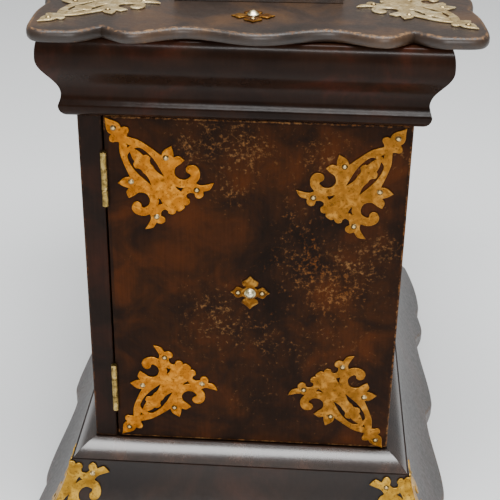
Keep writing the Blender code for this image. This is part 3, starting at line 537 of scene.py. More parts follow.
def inset_outline(outline, distance, room):
    """Every point of an outline moved to its left by the distance, or by what it has room for."""
    moved = []
    for place, (x, y) in enumerate(outline):
        before, after = Vector(outline[place - 1]), Vector(outline[(place + 1) % len(outline)])
        inward = (after - before).orthogonal().normalized() * min(distance, room[place])
        moved.append((x + inward.x, y + inward.y))
    return moved


def edged_plate(outlines, rings, crowding=9.0):
    """A flat plate that lies to the left of its outlines, a counterclockwise one and clockwise
    holes. The rings give inset, height and wear round every edge, from the back to the face.
    No point moves further in than a share, the crowding, of the way to its nearest neighbours."""
    every = kdtree.KDTree(sum(len(outline) for outline in outlines))
    for number, (x, y) in enumerate(spot for outline in outlines for spot in outline):
        every.insert((x, y, 0), number)
    every.balance()
    shape = bmesh.new()
    wear = shape.verts.layers.float.new("wear")
    caps = ([], [])
    for outline in outlines:
        levels = []
        room = []
        for place in range(len(outline)):
            beside = [Vector((*outline[near % len(outline)], 0)) for near in (place - 1, place, place + 1)]
            room.append(crowding * min(distance for other, number, distance in every.find_n(beside[1], 4)
                                       if min((other - near).length for near in beside) > 1e-7))
        for inset, height, rubbed in rings:
            level = [shape.verts.new((x, y, height)) for x, y in inset_outline(outline, inset, room)]
            for vertex in level:
                vertex[wear] = rubbed
            levels.append(level)
        join_rings(shape, levels)
        for cap, level in zip(caps, (levels[0], levels[-1])):
            cap += [shape.edges.get((level[here - 1], level[here])) for here in range(len(level))]
    for cap in caps:
        bmesh.ops.triangle_fill(shape, edges=cap, use_beauty=True, use_dissolve=False)
    bmesh.ops.recalc_face_normals(shape, faces=shape.faces)
    return shape


top_outline = scalloped_outline(TOP_SIDE_OVERHANG, TOP_END_OVERHANG)
top_rings = [(inset, TOP_LOW + (TOP_HIGH - TOP_LOW) * share, rubbed) for inset, share, rubbed in TOP_RINGS]
top_shape = edged_plate([top_outline], top_rings)
bmesh.ops.rotate(top_shape, matrix=Matrix.Rotation(TOP_TURN, 3, "Z"), verts=top_shape.verts)
top_lacquer = ebonised_wood("brushed shellac on the top",
                            [(0.34, "#1D150F"), (0.50, "#2C2018"), (0.68, "#46301C")],
                            [(0.35, "#54361C"), (0.65, "#8C6840")], 44, 0.34, 0.45)
add_piece("scalloped_top", top_shape, [top_lacquer], "cabinet", "dark_lacquer", "top_board")

# Raised tier: a block with its upper edges rounded over, glued on the top board. Only its
# front foot shows in the photograph.
TIER_ROUNDING = 0.007
TIER_WIDTH, TIER_DEPTH = 0.101, 0.258
TIER_LOW, TIER_HIGH = heights("top_tier")
TIER_FOOT = TIER_LOW + 0.001
tier_corner = Vector((TIER_WIDTH / 2, TIER_DEPTH / 2, 0))
tier = block(Vector((0, 0, TIER_LOW)) - tier_corner, Vector((0, 0, TIER_HIGH)) + tier_corner)
rounded = [item for item in tier.edges if min(vertex.co.z for vertex in item.verts) > TIER_FOOT]
bmesh.ops.bevel(tier, geom=rounded, offset=TIER_ROUNDING, segments=8, profile=0.5, affect="EDGES")
wear = tier.verts.layers.float.new("wear")
# The rounded upper part takes a light real rub; the stronger lightening at the foot, fading up the sides, is
# a painted highlight for the bright band there.
for vertex in tier.verts:
    vertex[wear] = 0.35 if vertex.co.z < TIER_FOOT else 0.15
bmesh.ops.rotate(tier, matrix=Matrix.Rotation(TOP_TURN, 3, "Z"), verts=tier.verts)
add_piece("rounded_tier", tier, [top_lacquer], "cabinet", "dark_lacquer", "top_tier")

# Door: a flat board hung on two butt hinges. Its lacquer has gone reddish brown in patches,
# has blistered and crackled, and has flaked off in tan specks, most of all on the right.
DOOR_LOW, DOOR_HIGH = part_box("door")
DOOR_CUTS = 190
# Height and size of the blisters and of the slow warp of the face
BLISTER_HEIGHT, BLISTER_SIZE = 0.00022, 0.005
WARP_HEIGHT, WARP_SIZE = 0.00010, 0.045
# Places on the door's face: across from the middle, height, reach and strength, in metres
FLAKED_PLACES = ((-0.016, 0.308, 0.024, 0.75), (0.006, 0.300, 0.014, 0.7), (0.046, 0.300, 0.020, 0.7),
                 (-0.009, 0.272, 0.014, 0.7), (0.030, 0.262, 0.016, 0.45), (0.060, 0.236, 0.034, 0.45),
                 (0.034, 0.222, 0.024, 0.6), (0.057, 0.203, 0.016, 0.6), (0.090, 0.240, 0.012, 0.6),
                 (0.076, 0.214, 0.020, 0.4), (-0.020, 0.188, 0.024, 0.75), (0.014, 0.170, 0.020, 0.5),
                 (0.060, 0.165, 0.030, 0.45), (0.070, 0.120, 0.026, 0.35), (-0.045, 0.150, 0.024, 0.25),
                 (0.085, 0.300, 0.016, 0.6), (0.010, 0.130, 0.030, 0.3), (-0.034, 0.300, 0.012, 0.5))
WARM_PLACES = ((-0.072, 0.215, 0.026, 0.8), (-0.034, 0.230, 0.024, 0.9), (0.020, 0.290, 0.026, 1.0),
               (-0.050, 0.270, 0.030, 0.4), (0.057, 0.203, 0.018, 1.2), (0.078, 0.165, 0.020, 0.8),
               (-0.060, 0.290, 0.020, 0.7), (-0.026, 0.262, 0.016, 0.6), (0.070, 0.255, 0.020, 0.6),
               (0.085, 0.100, 0.020, 0.4), (0.080, 0.292, 0.022, 1.2), (0.060, 0.300, 0.016, 0.8))


def nearness(places, x, z):
    """How strongly a point belongs to the named places."""
    total = 0
    for across, height, reach, strength in places:
        total += strength * math.exp(-((x - across) ** 2 + (z - height) ** 2) / reach ** 2)
    return min(total, 1.0)


def door_shape():
    """The door as one closed shape whose front face is a fine grid with the blisters raised."""
    shape = worn_block(DOOR_LOW, DOOR_HIGH, BOARD_ROUNDING, RUBBED_RIM)
    flaking = shape.verts.layers.float.new("flaking")
    warmth = shape.verts.layers.float.new("warmth")
    wide = sorted(shape.faces, key=lambda face: face.calc_area())[-2:]
    front = min(wide, key=lambda face: face.calc_center_median().y)
    depth = front.calc_center_median().y
    bmesh.ops.subdivide_edges(shape, edges=list(front.edges), cuts=DOOR_CUTS, use_grid_fill=True)
    wear = shape.verts.layers.float["wear"]
    for vertex in shape.verts:
        vertex[flaking] = nearness(FLAKED_PLACES, vertex.co.x, vertex.co.z)
        vertex[warmth] = nearness(WARM_PLACES, vertex.co.x, vertex.co.z)
        if abs(vertex.co.y - depth) < 1e-6 and vertex[wear] < 0.01:
            rough = noise.fractal(vertex.co / BLISTER_SIZE, 0.6, 2.2, 4)
            lump = max(0.0, rough - 0.05) - max(0.0, rough - 0.45) * 1.6
            vertex.co.y -= BLISTER_HEIGHT * lump * (0.15 + vertex[flaking])
            vertex.co.y -= WARP_HEIGHT * (1 + noise.noise(vertex.co / WARP_SIZE))
    return shape


door_lacquer = ebonised_wood("blistered shellac on the door",
                             [(0.34, "#160D08"), (0.48, "#20120A"), (0.60, "#2E180A"), (0.80, "#42200B")],
                             [(0.35, "#6A3C18"), (0.65, "#87633C")], 26, 0.30, 0.05, flaked=True)
add_piece("blistered_door", seated(door_shape(), "door"), [door_lacquer], "door", "dark_lacquer", "door")

# Hinges: two butt hinges of tarnished brass, one leaf on the edge of the stile and the other
# on the edge of the door, with one knuckle between two on a drawn brass pin. Only the barrels
# show when the door is shut.
PIN_AXIS = (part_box("hinge_pin_lower")[0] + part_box("hinge_pin_lower")[1]).xyz / 2 * Vector((1, 1, 0))
BORE_RADIUS, PIN_RADIUS = 0.0011, 0.0008
BARREL_CHAMFER, PIN_CHAMFER = 0.00015, 0.0002
MIDDLE_KNUCKLE_SHARE = 0.38
KNUCKLE_GAP = 0.0003
LEAF_THICKNESS = 0.0009
# Each leaf's left face beside the pin's axis, and how far behind the axis the leaf starts and
# its necks start and end
LEAF_PLACES = {"fixed": -0.00122, "door": 0.00032}
LEAF_START, NECK_START, NECK_END = 0.0023, 0.0014, 0.0032
HINGE_SIDES = 32


def old_brass(name, tones, spots, dullness, mottle, polish_and_highlight=0.5):
    """Sheet brass, gilt-lacquered and tarnished: mottled over some millimetres, spotted red brown, and
    brightened towards its palest tone by its wear: rubbed bright on the arrises of the mounts and, on the
    crowns of the nails, partly a painted highlight. Real spots are 0.4 mm, drawn here about 0.8 mm."""
    material, tree, shader, place = new_finish(name)
    clouds = add_node(tree, "TexNoise", {"Vector": place, "Scale": per_metre(mottle), "Detail": 4.0,
                                         "Distortion": 0.6}).outputs["Fac"]
    color = add_node(tree, "ValToRGB", {"stops": tones, "Fac": clouds}).outputs["Color"]
    grit = add_node(tree, "TexNoise", {"Vector": place, "Scale": per_metre(1.7), "Detail": 5.0,
                                       "Roughness": 0.65}).outputs["Fac"]
    spotted = add_node(tree, "MapRange", {"Value": grit, "From Min": 0.54, "From Max": 0.65}).outputs[0]
    color = add_node(tree, "Mix", {"data_type": "RGBA", 0: spotted, 6: color, 7: linear(spots)}).outputs[2]
    edge = add_node(tree, "Attribute", {"attribute_name": "wear"}).outputs["Fac"]
    # Wear times a share brightens towards the palest tone: real rubbing on mount arrises, and a painted
    # highlight on nail crowns.
    rub_and_highlight = add_node(tree, "Math", {"operation": "MULTIPLY", 0: edge, 1: polish_and_highlight}).outputs[0]
    color = add_node(tree, "Mix", {"data_type": "RGBA", 0: rub_and_highlight, 6: color,
                                   7: linear(tones[-1][1])}).outputs[2]
    tree.links.new(color, shader.inputs["Base Color"])
    dull = add_node(tree, "MapRange", {"Value": grit, "From Min": 0.3, "From Max": 0.7, "To Min": dullness,
                                       "To Max": dullness + 0.22})
    tree.links.new(dull.outputs[0], shader.inputs["Roughness"])
    relief = add_node(tree, "Bump", {"Strength": 0.25, "Distance": 0.0003, "Height": clouds})
    tree.links.new(relief.outputs[0], shader.inputs["Normal"])
    shader.inputs["Metallic"].default_value = 1.0
    return material


def turned(section, sides, place):
    """A shape turned about Z from (radius, height) points; a bored one closes on itself."""
    shape = bmesh.new()
    rings = []
    for radius, height in section:
        turns = [2 * math.pi * side / sides for side in range(sides)]
        rings.append([shape.verts.new((radius * math.cos(turn), radius * math.sin(turn), height))
                      for turn in turns])
    if section[0][0] > 0 and section[-1][0] > 0:
        rings.append(rings[0])
    join_rings(shape, rings)
    bmesh.ops.remove_doubles(shape, verts=shape.verts, dist=0.000001)
    bmesh.ops.recalc_face_normals(shape, faces=shape.faces)
    bmesh.ops.translate(shape, vec=place, verts=shape.verts)
    return shape


def gathered(*shapes):
    """Several closed shapes as one."""
    whole = bmesh.new()
    for shape in shapes:
        mesh = bpy.data.meshes.new("gathered")
        shape.to_mesh(mesh)
        shape.free()
        whole.from_mesh(mesh)
        bpy.data.meshes.remove(mesh)
    return whole


def knuckle(low, high):
    """A bored barrel about the pin's axis, chamfered at both ends."""
    chamfered = BARREL_RADIUS - BARREL_CHAMFER
    section = [(BORE_RADIUS, low), (chamfered, low), (BARREL_RADIUS, low + BARREL_CHAMFER),
               (BARREL_RADIUS, high - BARREL_CHAMFER), (chamfered, high), (BORE_RADIUS, high)]
    return turned(section, HINGE_SIDES, PIN_AXIS)


hinge_brass = old_brass("tarnished hinge brass",
                        [(0.35, "#6E5A30"), (0.5, "#9A8248"), (0.65, "#C4AC6E")], "#4A3A20", 0.34, 5)
pin_brass = old_brass("drawn pin brass", [(0.35, "#7A6436"), (0.65, "#A88F54")], "#54411F", 0.3, 4)
for end in ("lower", "upper"):
    hinge_low, hinge_high = heights("hinge_pin_" + end)
    outer = (hinge_high - hinge_low) * (1 - MIDDLE_KNUCKLE_SHARE) / 2
    lower, upper = hinge_low + outer, hinge_high - outer
    outer_spans = ((hinge_low, lower - KNUCKLE_GAP / 2), (upper + KNUCKLE_GAP / 2, hinge_high))
    middle_span = ((lower + KNUCKLE_GAP / 2, upper - KNUCKLE_GAP / 2),)
    for kind, body, spans in (("fixed", "cabinet", outer_spans), ("door", "door", middle_span)):
        leaf = f"hinge_leaf_{kind}_{end}"
        near = PIN_AXIS.x + LEAF_PLACES[kind]
        far = near + LEAF_THICKNESS
        pieces = [block(Vector((near, PIN_AXIS.y + LEAF_START, hinge_low)),
                        Vector((far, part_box(leaf)[1].y, hinge_high)))]
        for bottom, top in spans:
            pieces.append(knuckle(bottom, top))
            pieces.append(block(Vector((near, PIN_AXIS.y + NECK_START, bottom)),
                                Vector((far, PIN_AXIS.y + NECK_END, top))))
        add_piece(f"{kind}_hinge_leaf_{end}", gathered(*pieces), [hinge_brass], body, "brass", leaf)
    pin = turned([(0, hinge_low), (PIN_RADIUS, hinge_low), (PIN_RADIUS, hinge_high - PIN_CHAMFER),
                  (PIN_RADIUS - PIN_CHAMFER, hinge_high), (0, hinge_high)], HINGE_SIDES, PIN_AXIS)
    add_piece("drawn_pin_" + end, pin, [pin_brass], "cabinet", "brass", "hinge_pin_" + end)

# Corner mounts: one stamped and pierced pattern in sheet brass 0.9 mm thick, nailed flat on
# the door and the top, and bent over the front mitres of the base. Each hangs on five nails
# with domed heads. Those on the door have kept the most gilding; the top ones are the palest.
MOUNT_LENGTH, MOUNT_THICKNESS, MOUNT_LIFT = 0.0752, 0.0009, 0.0003
# Rings of the stamped edge: inset and height in millimetres, and wear
MOUNT_RINGS = ((0.08, 0.0, 0.0), (0.0, 0.10, 0.3), (0.0, 0.55, 0.8), (0.07, 0.76, 1.0), (0.20, 0.87, 1.0),
               (0.38, 0.90, 0.3))
# One half of the outer edge in millimetres, tip to shell: smooth runs that meet in sharp points
MOUNT_EDGE = (
    ((0, 0), (2.8, 1.5), (5.5, 3.4), (8.2, 4.4), (10.8, 3.9)),
    ((10.8, 3.9), (11.6, 6.0), (13.6, 7.2), (15.4, 6.2), (16.2, 4.4), (17.4, 3.2)),
    ((17.4, 3.2), (23, 7.2), (28.5, 9.3), (34, 10.9), (39, 12.2)),
    ((39, 12.2), (37.2, 15.6), (37.7, 21.0)),
    ((37.7, 21.0), (41.3, 19.6), (44.3, 17.6)),
    ((44.3, 17.6), (45.6, 20.6), (49.6, 21.8)),
    ((49.6, 21.8), (50.1, 18.2), (50.2, 14.4), (52.4, 11.8), (55.1, 11.1), (58.3, 12.2), (60.2, 15.0),
     (59.9, 18.6)),
    ((59.9, 18.6), (58.6, 18.9), (56.6, 18.1), (54.5, 19.0), (53.7, 21.0), (54.1, 22.5)),
    ((54.1, 22.5), (55.6, 24.6), (58.5, 25.4), (61.6, 24.4), (64.4, 21.7), (65.6, 18.1)),
    ((65.6, 18.1), (67.9, 19.2), (69.6, 21.6), (71.8, 27.0)),
    ((71.8, 27.0), (73.4, 24.2), (73.9, 21.8), (72.5, 18.4)),
    ((72.5, 18.4), (74.8, 16.6), (75.0, 13.8), (73.0, 12.2), (70.4, 13.2)),
    ((70.4, 13.2), (68.4, 11), (68.5, 8.4), (70.4, 7.6)),
    ((70.4, 7.6), (72.0, 8.2), (73.9, 6.6), (74.0, 4.6), (73.0, 3.2)),
    ((73.0, 3.2), (74.6, 2.2), (75, 0)),
)
MOUNT_SLOT = (
    ((26, 1.7), (27.2, 4.6), (31, 6.2), (36.3, 6.9), (41.3, 6.7), (46.2, 5.9), (50.8, 5.1)),
    ((50.8, 5.1), (47.6, 3.9), (44.3, 3.4), (41.5, 3.9)),
    ((41.5, 3.9), (39.5, 3.6), (37.6, 4.4)),
    ((37.6, 4.4), (36.2, 5.9), (33.6, 5.2), (32.6, 3.5)),
    ((32.6, 3.5), (29.6, 3.0), (26, 1.7)),
)
MOUNT_SIDE_HOLE = (((59.8, 6.7), (61.9, 8.0), (63.8, 10.1)), ((63.8, 10.1), (64.0, 8.6), (64.8, 7.4)),
                   ((64.8, 7.4), (62.4, 6.6), (59.8, 6.7)))
MOUNT_DART = (((20.4, 0), (22.0, 0.4), (23.2, 1.3)), ((23.2, 1.3), (22.9, 0), (23.2, -1.3)),
              ((23.2, -1.3), (22.0, -0.4), (20.4, 0)))
MOUNT_NAILS = ((8.3, 0), (41.7, 13.6), (41.7, -13.6), (69.4, 15.8), (69.4, -15.8))
CURVE_STEPS = 4
# Nail head section in millimetres, from the top: radius, height above the plate, and wear, which brightens
# the crown, partly as real rubbing and partly as a painted highlight
NAIL_HEAD = ((0, 0.95, 1.0), (0.45, 0.90, 1.0), (0.85, 0.74, 0.8), (1.15, 0.50, 0.4), (1.35, 0.22, 0.0),
             (1.85, 0.05, 0.0), (1.85, -0.30, 0.0), (0, -0.30, 0.0))
NAIL_SIDES = 20
SHEET_CROWDING = 0.3
METAL_RINGS = [(inset / 1000, height / 1000, rubbed) for inset, height, rubbed in MOUNT_RINGS]
NAIL_PLACES = [(u / 1000, v / 1000) for u, v in MOUNT_NAILS]


def curved(run):
    """A smooth run through its points, without the last one, as metres."""
    padded = [run[0], *run, run[-1]]
    spots = []
    for first, second, third, fourth in zip(padded, padded[1:], padded[2:], padded[3:]):
        for step in range(CURVE_STEPS):
            share = step / CURVE_STEPS
            spots.append(tuple(0.0005 * (2 * b + (c - a) * share + (2 * a - 5 * b + 4 * c - d) * share ** 2
                                         + (3 * b - a - 3 * c + d) * share ** 3)
                               for a, b, c, d in zip(first, second, third, fourth)))
    return spots


def joined(runs):
    """The points of several smooth runs, one after another."""
    return [spot for run in runs for spot in curved(run)]


def mirrored(spots):
    """The points on the other side of the mount's axis."""
    return [(u, -v) for u, v in spots]


def mount_outlines():
    """The counterclockwise outline and the clockwise holes of the flat mount."""
    half, slot, hole = joined(MOUNT_EDGE), joined(MOUNT_SLOT), joined(MOUNT_SIDE_HOLE)
    shell = (MOUNT_EDGE[-1][-1][0] / 1000, 0)
    outline = mirrored(half) + [shell] + half[:0:-1]
    return [outline, slot, mirrored(slot)[::-1], hole, mirrored(hole)[::-1], joined(MOUNT_DART)]


def nail_heads(shape, spots, frame):
    """Adds domed heads, in the second material, on a plate at (u, v) places of its frame."""
    wear = shape.verts.layers.float["wear"]
    for u, v in spots:
        upright = frame(u, v)
        rings = []
        for radius, height, rubbed in NAIL_HEAD:
            ring = []
            for side in range(NAIL_SIDES if radius else 1):
                turn = 2 * math.pi * side / NAIL_SIDES
                spot = Vector((radius * math.cos(turn), radius * math.sin(turn), height)) / 1000
                vertex = shape.verts.new(upright @ spot)
                vertex[wear] = rubbed
                ring.append(vertex)
            rings.append(ring)
        for ring, following in zip(rings, rings[1:]):
            for here in range(NAIL_SIDES):
                after = (here + 1) % NAIL_SIDES
                corners = [ring[here % len(ring)], following[here % len(following)],
                           following[after % len(following)], ring[after % len(ring)]]
                face = shape.faces.new(list(dict.fromkeys(corners)))
                face.material_index = 1
                face.smooth = True


def plane_frame(origin, axis, normal):
    """A matrix with its origin at a point, X along the axis and Z along the normal."""
    axis, normal = Vector(axis).normalized(), Vector(normal)
    turn = Matrix((axis, normal.cross(axis), normal)).transposed().to_4x4()
    return Matrix.Translation(origin) @ turn


def flat_mount(name, frame, material, body, node):
    """A nailed mount whose tip is at the frame's origin and whose axis is the frame's X."""
    mount = edged_plate(mount_outlines(), METAL_RINGS, SHEET_CROWDING)
    nail_heads(mount, NAIL_PLACES, lambda u, v: Matrix.Translation((u, v, MOUNT_THICKNESS)))
    bmesh.ops.transform(mount, matrix=frame, verts=mount.verts)
    add_piece(name, mount, [material, nail_brass_with_painted_highlight], body, "brass", node)


# Nail heads: dark tones, brightened almost to the pale last tone on the crown. The bright crown is partly
# real rubbing and partly a painted highlight, and the dark unworn rim is painted shade where the dome meets
# the plate.
nail_brass_with_painted_highlight = old_brass("domed nail brass with painted highlight and rim shade", [(0.3, "#2C1D0C"), (0.5, "#4A3216"), (0.7, "#D6BC84")], "#3A2A14",
                       0.24, 8, polish_and_highlight=0.9)
door_brass = old_brass("gilt brass on the door",
                       [(0.32, "#763A08"), (0.50, "#9C5A0C"), (0.66, "#C8862A")], "#521E06",
                       0.38, 6, polish_and_highlight=0.8)
# The mounts on the door's right side take a darker copy of the door brass.
right_door_brass = old_brass("darker gilt brass on the door's right",
                       [(0.32, "#5E360E"), (0.50, "#825014"), (0.66, "#B07C34")], "#3E1A08",
                       0.40, 6, polish_and_highlight=0.8)
DOOR_EDGES = {"left": (DOOR_LOW.x, 1, door_brass), "right": (DOOR_HIGH.x, -1, right_door_brass)}
DOOR_ENDS = {"lower": (BODY_LOW, 1), "upper": (BODY_TOP, -1)}
# Nailed on by eye: how far each tip is from the door's side and from the body's end, in
# millimetres, and the angle of its axis
DOOR_MOUNTS = {("lower", "left"): (2.8, 2.8, 51.6), ("lower", "right"): (3.1, 1.2, 52.0),
               ("upper", "left"): (1.2, 1.2, 52.5), ("upper", "right"): (4.0, 1.8, 54.2)}
for (end, side), (side_inset, end_inset, degrees) in DOOR_MOUNTS.items():
    edge, inward, metal = DOOR_EDGES[side]
    level, up = DOOR_ENDS[end]
    tip = Vector((edge + inward * side_inset / 1000, DOOR_LOW.y - MOUNT_LIFT, level + up * end_inset / 1000))
    slant = math.radians(degrees)
    frame_here = plane_frame(tip, (inward * math.cos(slant), 0, up * math.sin(slant)), (0, -1, 0))
    flat_mount(f"{end}_{side}_door_corner_mount", frame_here, metal, "door", f"door_mount_{end}_{side}")

top_brass = old_brass("rubbed pale brass on the top",
                      [(0.32, "#A08452"), (0.5, "#BCA474"), (0.66, "#DCCCA4")], "#5E4624", 0.44, 7)
TOP_MOUNT_SIDE_INSET, TOP_MOUNT_END_INSET, TOP_MOUNT_ANGLE = 0.0065, 0.0155, math.radians(52)
turned_top = Matrix.Rotation(TOP_TURN, 4, "Z")
for end, back in (("front", -1), ("back", 1)):
    for side, across in (("left", -1), ("right", 1)):
        tip = (across * (BODY_RIGHT + TOP_SIDE_OVERHANG - TOP_MOUNT_SIDE_INSET),
               back * (BODY_BACK + TOP_END_OVERHANG - TOP_MOUNT_END_INSET), TOP_HIGH + MOUNT_LIFT)
        axis = (-across * math.cos(TOP_MOUNT_ANGLE), -back * math.sin(TOP_MOUNT_ANGLE), 0)
        flat_mount(f"{end}_{side}_top_corner_mount", turned_top @ plane_frame(tip, axis, (0, 0, 1)),
                   top_brass, "cabinet", f"top_mount_{end}_{side}")

# Bent mounts of the base: the same stamping, bent over the front mitres and nailed on. The
# shell is up under the bead and the tip is down near the cusp.
FOLD_START, FOLD_END, FOLD_LIFT = 0.0006, 0.0010, 0.0006
FOLD_STRIP = 0.0016
# How far apart two readings of the slope are, and how near the mitre the fold is rounded
FOLD_STEP, FOLD_CREASE = 0.0005, 0.0008
WALK_STEPS = 90


def skirt_overhang(height):
    """How far the flaring face stands out at a height."""
    share = max(0, SKIRT_TOP - height) / FLARE_HEIGHT
    return SKIRT_SHOULDER + FLARE_DEPTH * share ** SKIRT_FLARE_POWER


skirt_walk = [(0, 0, SKIRT_TOP, skirt_overhang(SKIRT_TOP))]
for step in range(1, WALK_STEPS + 1):
    level_here = SKIRT_TOP - FLARE_HEIGHT * step / WALK_STEPS
    out = skirt_overhang(level_here) - skirt_walk[-1][3]
    drop = skirt_walk[-1][2] - level_here
    skirt_walk.append((skirt_walk[-1][0] + math.sqrt(2 * out * out + drop * drop),
                       skirt_walk[-1][1] + math.hypot(out, drop), level_here, skirt_overhang(level_here)))


def on_walk(value, key, wanted):
    """Reads one column of the walk down the skirt at a value of another: the length along the
    mitre, the length down the face, the height or the overhang."""
    for first, second in zip(skirt_walk, skirt_walk[1:]):
        if value <= second[key] or second is skirt_walk[-1]:
            share = (value - first[key]) / (second[key] - first[key])
            return first[wanted] + (second[wanted] - first[wanted]) * share


def folded(u, v, lift, right):
    """A point of the flat mount laid on the skirt beside the mitre; right is 1 or -1."""
    corner = edge_reach("front")[-1][1]
    room = on_walk(corner, 3, 0) - FOLD_START - FOLD_END
    along_mitre = FOLD_START + (MOUNT_LENGTH - u) * room / MOUNT_LENGTH
    ahead = min(along_mitre + FOLD_STEP, skirt_walk[-1][0])
    fall = (on_walk(ahead, 0, 1) - on_walk(ahead - FOLD_STEP, 0, 1)) / FOLD_STEP
    spread = (on_walk(ahead, 0, 3) - on_walk(ahead - FOLD_STEP, 0, 3)) / FOLD_STEP
    down = min(on_walk(along_mitre, 0, 1) + abs(v) * spread, skirt_walk[-1][1])
    height = on_walk(down, 1, 2)
    widening = skirt_overhang(height - FOLD_STEP) - skirt_overhang(height + FOLD_STEP)
    lean = math.atan(widening / (2 * FOLD_STEP))
    near_mitre = max(0, 1 - abs(v) / FOLD_CREASE)
    across = on_walk(along_mitre, 0, 3) - abs(v) * fall + near_mitre * lift * math.cos(lean)
    outward = skirt_overhang(height) + lift * math.cos(lean)
    height += lift * math.sin(lean)
    if v > 0:
        return Vector((right * (BODY_RIGHT + outward), BODY_FRONT - across, height))
    return Vector((right * (BODY_RIGHT + across), BODY_FRONT - outward, height))


base_brass = old_brass("gilt brass on the base",
                       [(0.32, "#7E5412"), (0.5, "#A07626"), (0.66, "#C49A40")], "#5E3812", 0.36, 7)
for side, right in (("left", -1), ("right", 1)):
    mount = edged_plate(mount_outlines(), METAL_RINGS, SHEET_CROWDING)
    cuts = [((0, 0, 0), (0, 1, 0))]
    cuts += [((FOLD_STRIP * step, 0, 0), (1, 0, 0)) for step in range(1, round(MOUNT_LENGTH / FOLD_STRIP))]
    cuts += [((0, sign * FOLD_STRIP * step, 0), (0, 1, 0)) for step in range(1, 17) for sign in (-1, 1)]
    for spot, normal in cuts:
        everything = list(mount.verts) + list(mount.edges) + list(mount.faces)
        bmesh.ops.bisect_plane(mount, geom=everything, plane_co=spot, plane_no=normal)
    for vertex in mount.verts:
        u, v, height = vertex.co
        vertex.co = folded(u, v, FOLD_LIFT + height, right)

    def nail_frame(u, v):
        """Upright on the bent sheet, one thickness above its underside on the mitre too, where
        the fold lifts a point further."""
        low = folded(u, v, FOLD_LIFT, right)
        high = folded(u, v, FOLD_LIFT + MOUNT_THICKNESS, right)
        if not v:
            high = low + (high - low).normalized() * MOUNT_THICKNESS
        normal = (high - low).normalized()
        return plane_frame(high, normal.orthogonal(), normal)
    nail_heads(mount, NAIL_PLACES, nail_frame)
    bmesh.ops.recalc_face_normals(mount, faces=mount.faces)
    add_piece(side + "_bent_corner_mount", mount, [base_brass, nail_brass_with_painted_highlight], "cabinet", "brass",
              "base_mount_" + side)

# Rosettes: a four-petalled stamping with two domed nails and a separate round boss in its
# middle, one on the door and one in front of the tier.
# A quarter of the outline in millimetres, from the upper petal to the right one
ROSETTE_EDGE = (
    ((0, 12.2), (2.0, 10.0)), ((2.0, 10.0), (3.0, 9.2), (4.0, 8.6), (5.3, 7.4), (4.6, 5.2), (2.6, 4.3)),
    ((2.6, 4.3), (3.4, 3.4), (4.6, 2.6)), ((4.6, 2.6), (6.6, 3.6), (8.2, 4.0), (9.6, 3.0), (10.2, 1.8)),
    ((10.2, 1.8), (12.6, 0)),
)
ROSETTE_NAIL = 0.0077
BOSS_SECTION = ((0, 2.6), (0.9, 2.5), (1.8, 2.1), (2.5, 1.5), (2.9, 0.8), (3.5, 0.5), (3.6, 0.1),
                (3.4, 0.0), (0, 0.0))
BOSS_SIDES = 40
DOOR_ROSETTE = (0.005, DOOR_LOW.y - MOUNT_LIFT, 0.203)
TOP_ROSETTE_INSET = 0.0336
TOP_ROSETTE = (-0.0028, BODY_FRONT - TOP_END_OVERHANG + TOP_ROSETTE_INSET, TOP_HIGH + MOUNT_LIFT)


def rosette_outline():
    """Counterclockwise, from the right petal."""
    quarter = joined(ROSETTE_EDGE)
    last = ROSETTE_EDGE[-1][-1]
    quarter = [(last[0] / 1000, last[1])] + quarter[::-1]
    upper = quarter + [(-x, y) for x, y in quarter[-2::-1]]
    return upper + [(x, -y) for x, y in upper[-2:0:-1]]


boss_brass = old_brass("burnished boss brass",
                       [(0.35, "#B8A878"), (0.5, "#D8CCA4"), (0.65, "#F4ECD0")], "#7A6844", 0.24, 4)
rosette_brass = old_brass("gilt brass rosettes",
                          [(0.34, "#4E280C"), (0.5, "#6C4014"), (0.64, "#9C7030")], "#3A1A08", 0.40, 5)


def rosette(name, frame, nail_places, body, node):
    """A stamped plate with its nails, and the boss on it as a piece of its own."""
    plate = edged_plate([rosette_outline()], METAL_RINGS, SHEET_CROWDING)
    nail_heads(plate, nail_places, lambda u, v: Matrix.Translation((u, v, MOUNT_THICKNESS)))
    bmesh.ops.transform(plate, matrix=frame, verts=plate.verts)
    add_piece(name + "_rosette", plate, [rosette_brass, nail_brass_with_painted_highlight], body, "brass", node)
    boss = turned([(radius / 1000, height / 1000) for radius, height in BOSS_SECTION], BOSS_SIDES,
                  Vector((0, 0, MOUNT_THICKNESS + MITRE_GAP)))
    bmesh.ops.transform(boss, matrix=frame, verts=boss.verts)
    add_piece(name + "_rosette_boss", boss, [boss_brass], body, "brass", node + "_boss")


rosette("petalled_door", plane_frame(DOOR_ROSETTE, (1, 0, 0), (0, -1, 0)),
        [(-ROSETTE_NAIL, 0), (ROSETTE_NAIL, 0)], "door", "door_rosette")
rosette("petalled_top", turned_top @ plane_frame(TOP_ROSETTE, (1, 0, 0), (0, 0, 1)),
        [(0, -ROSETTE_NAIL), (0, ROSETTE_NAIL)], "cabinet", "top_rosette")

# Floor and light: a plain pale sheet under the box, a strip of soft light overhead and a weaker
# one in front, a broad ceiling light, and pale walls all round that the lacquer mirrors.
floor_mesh = bpy.data.meshes.new("floor")
floor_shape = bmesh.new()
bmesh.ops.create_grid(floor_shape, x_segments=1, y_segments=1, size=6)
floor_shape.to_mesh(floor_mesh)
floor_shape.free()
floor = bpy.data.objects.new("floor", floor_mesh)
bpy.context.scene.collection.objects.link(floor)
floor_finish = bpy.data.materials.new("pale paper")
floor_finish.use_nodes = True
floor_shader = floor_finish.node_tree.nodes["Principled BSDF"]
floor_shader.inputs["Base Color"].default_value = linear("#EDEFF0")
floor_shader.inputs["Roughness"].default_value = 0.9
floor_mesh.materials.append(floor_finish)

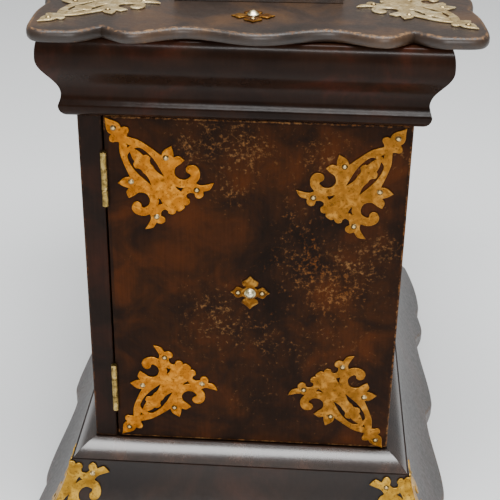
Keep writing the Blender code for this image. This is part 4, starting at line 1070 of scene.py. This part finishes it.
world = bpy.data.worlds.new("pale room")
bpy.context.scene.world = world
world.use_nodes = True
world.node_tree.nodes["Background"].inputs["Color"].default_value = linear("#EBECEC")
world.node_tree.nodes["Background"].inputs["Strength"].default_value = 0.5


def soft_light(name, width, height, power, place, target):
    """A rectangular lamp turned to face a point."""
    lamp = bpy.data.lights.new(name, "AREA")
    lamp.shape = "RECTANGLE"
    lamp.size, lamp.size_y = width, height
    lamp.energy = power
    holder = bpy.data.objects.new(name, lamp)
    holder.location = place
    holder.rotation_euler = (Vector(target) - Vector(place)).to_track_quat("-Z", "Y").to_euler()
    bpy.context.scene.collection.objects.link(holder)


soft_light("overhead", 1.5, 0.7, 46, (0.1, -0.42, 1.7), (0, -0.1, 0.2))
soft_light("front", 1.3, 0.14, 27, (0.3, -2.2, 1.05), (0, -0.1, 0.25))
soft_light("ceiling", 2.4, 2.4, 14, (0, 0.5, 2.3), (0, 0.1, 0))

# Camera: held a little above the box and to the right of its middle, looking down. Its place
# and turn were fitted to the edges in the photograph.
CAMERA_PLACE = Vector((0.03792, -0.79327, 0.56442))
CAMERA_YAW, CAMERA_PITCH, CAMERA_ROLL = math.radians(-3.06), math.radians(27.86), math.radians(0.85)
FOCAL_PIXELS, IMAGE_PIXELS = 1131.05, 500
camera_data = bpy.data.cameras.new("camera")
camera_data.sensor_width = 36
camera_data.lens = FOCAL_PIXELS / IMAGE_PIXELS * camera_data.sensor_width
camera = bpy.data.objects.new("camera", camera_data)
bpy.context.scene.collection.objects.link(camera)
ahead = Vector((math.sin(CAMERA_YAW) * math.cos(CAMERA_PITCH), math.cos(CAMERA_YAW) * math.cos(CAMERA_PITCH),
                -math.sin(CAMERA_PITCH)))
level = Vector((math.cos(CAMERA_YAW), -math.sin(CAMERA_YAW), 0))
above = level.cross(ahead)
right = level * math.cos(CAMERA_ROLL) + above * math.sin(CAMERA_ROLL)
above = above * math.cos(CAMERA_ROLL) - level * math.sin(CAMERA_ROLL)
camera.matrix_world = Matrix.Translation(CAMERA_PLACE) @ Matrix((right, above, -ahead)).transposed().to_4x4()
bpy.context.scene.camera = camera
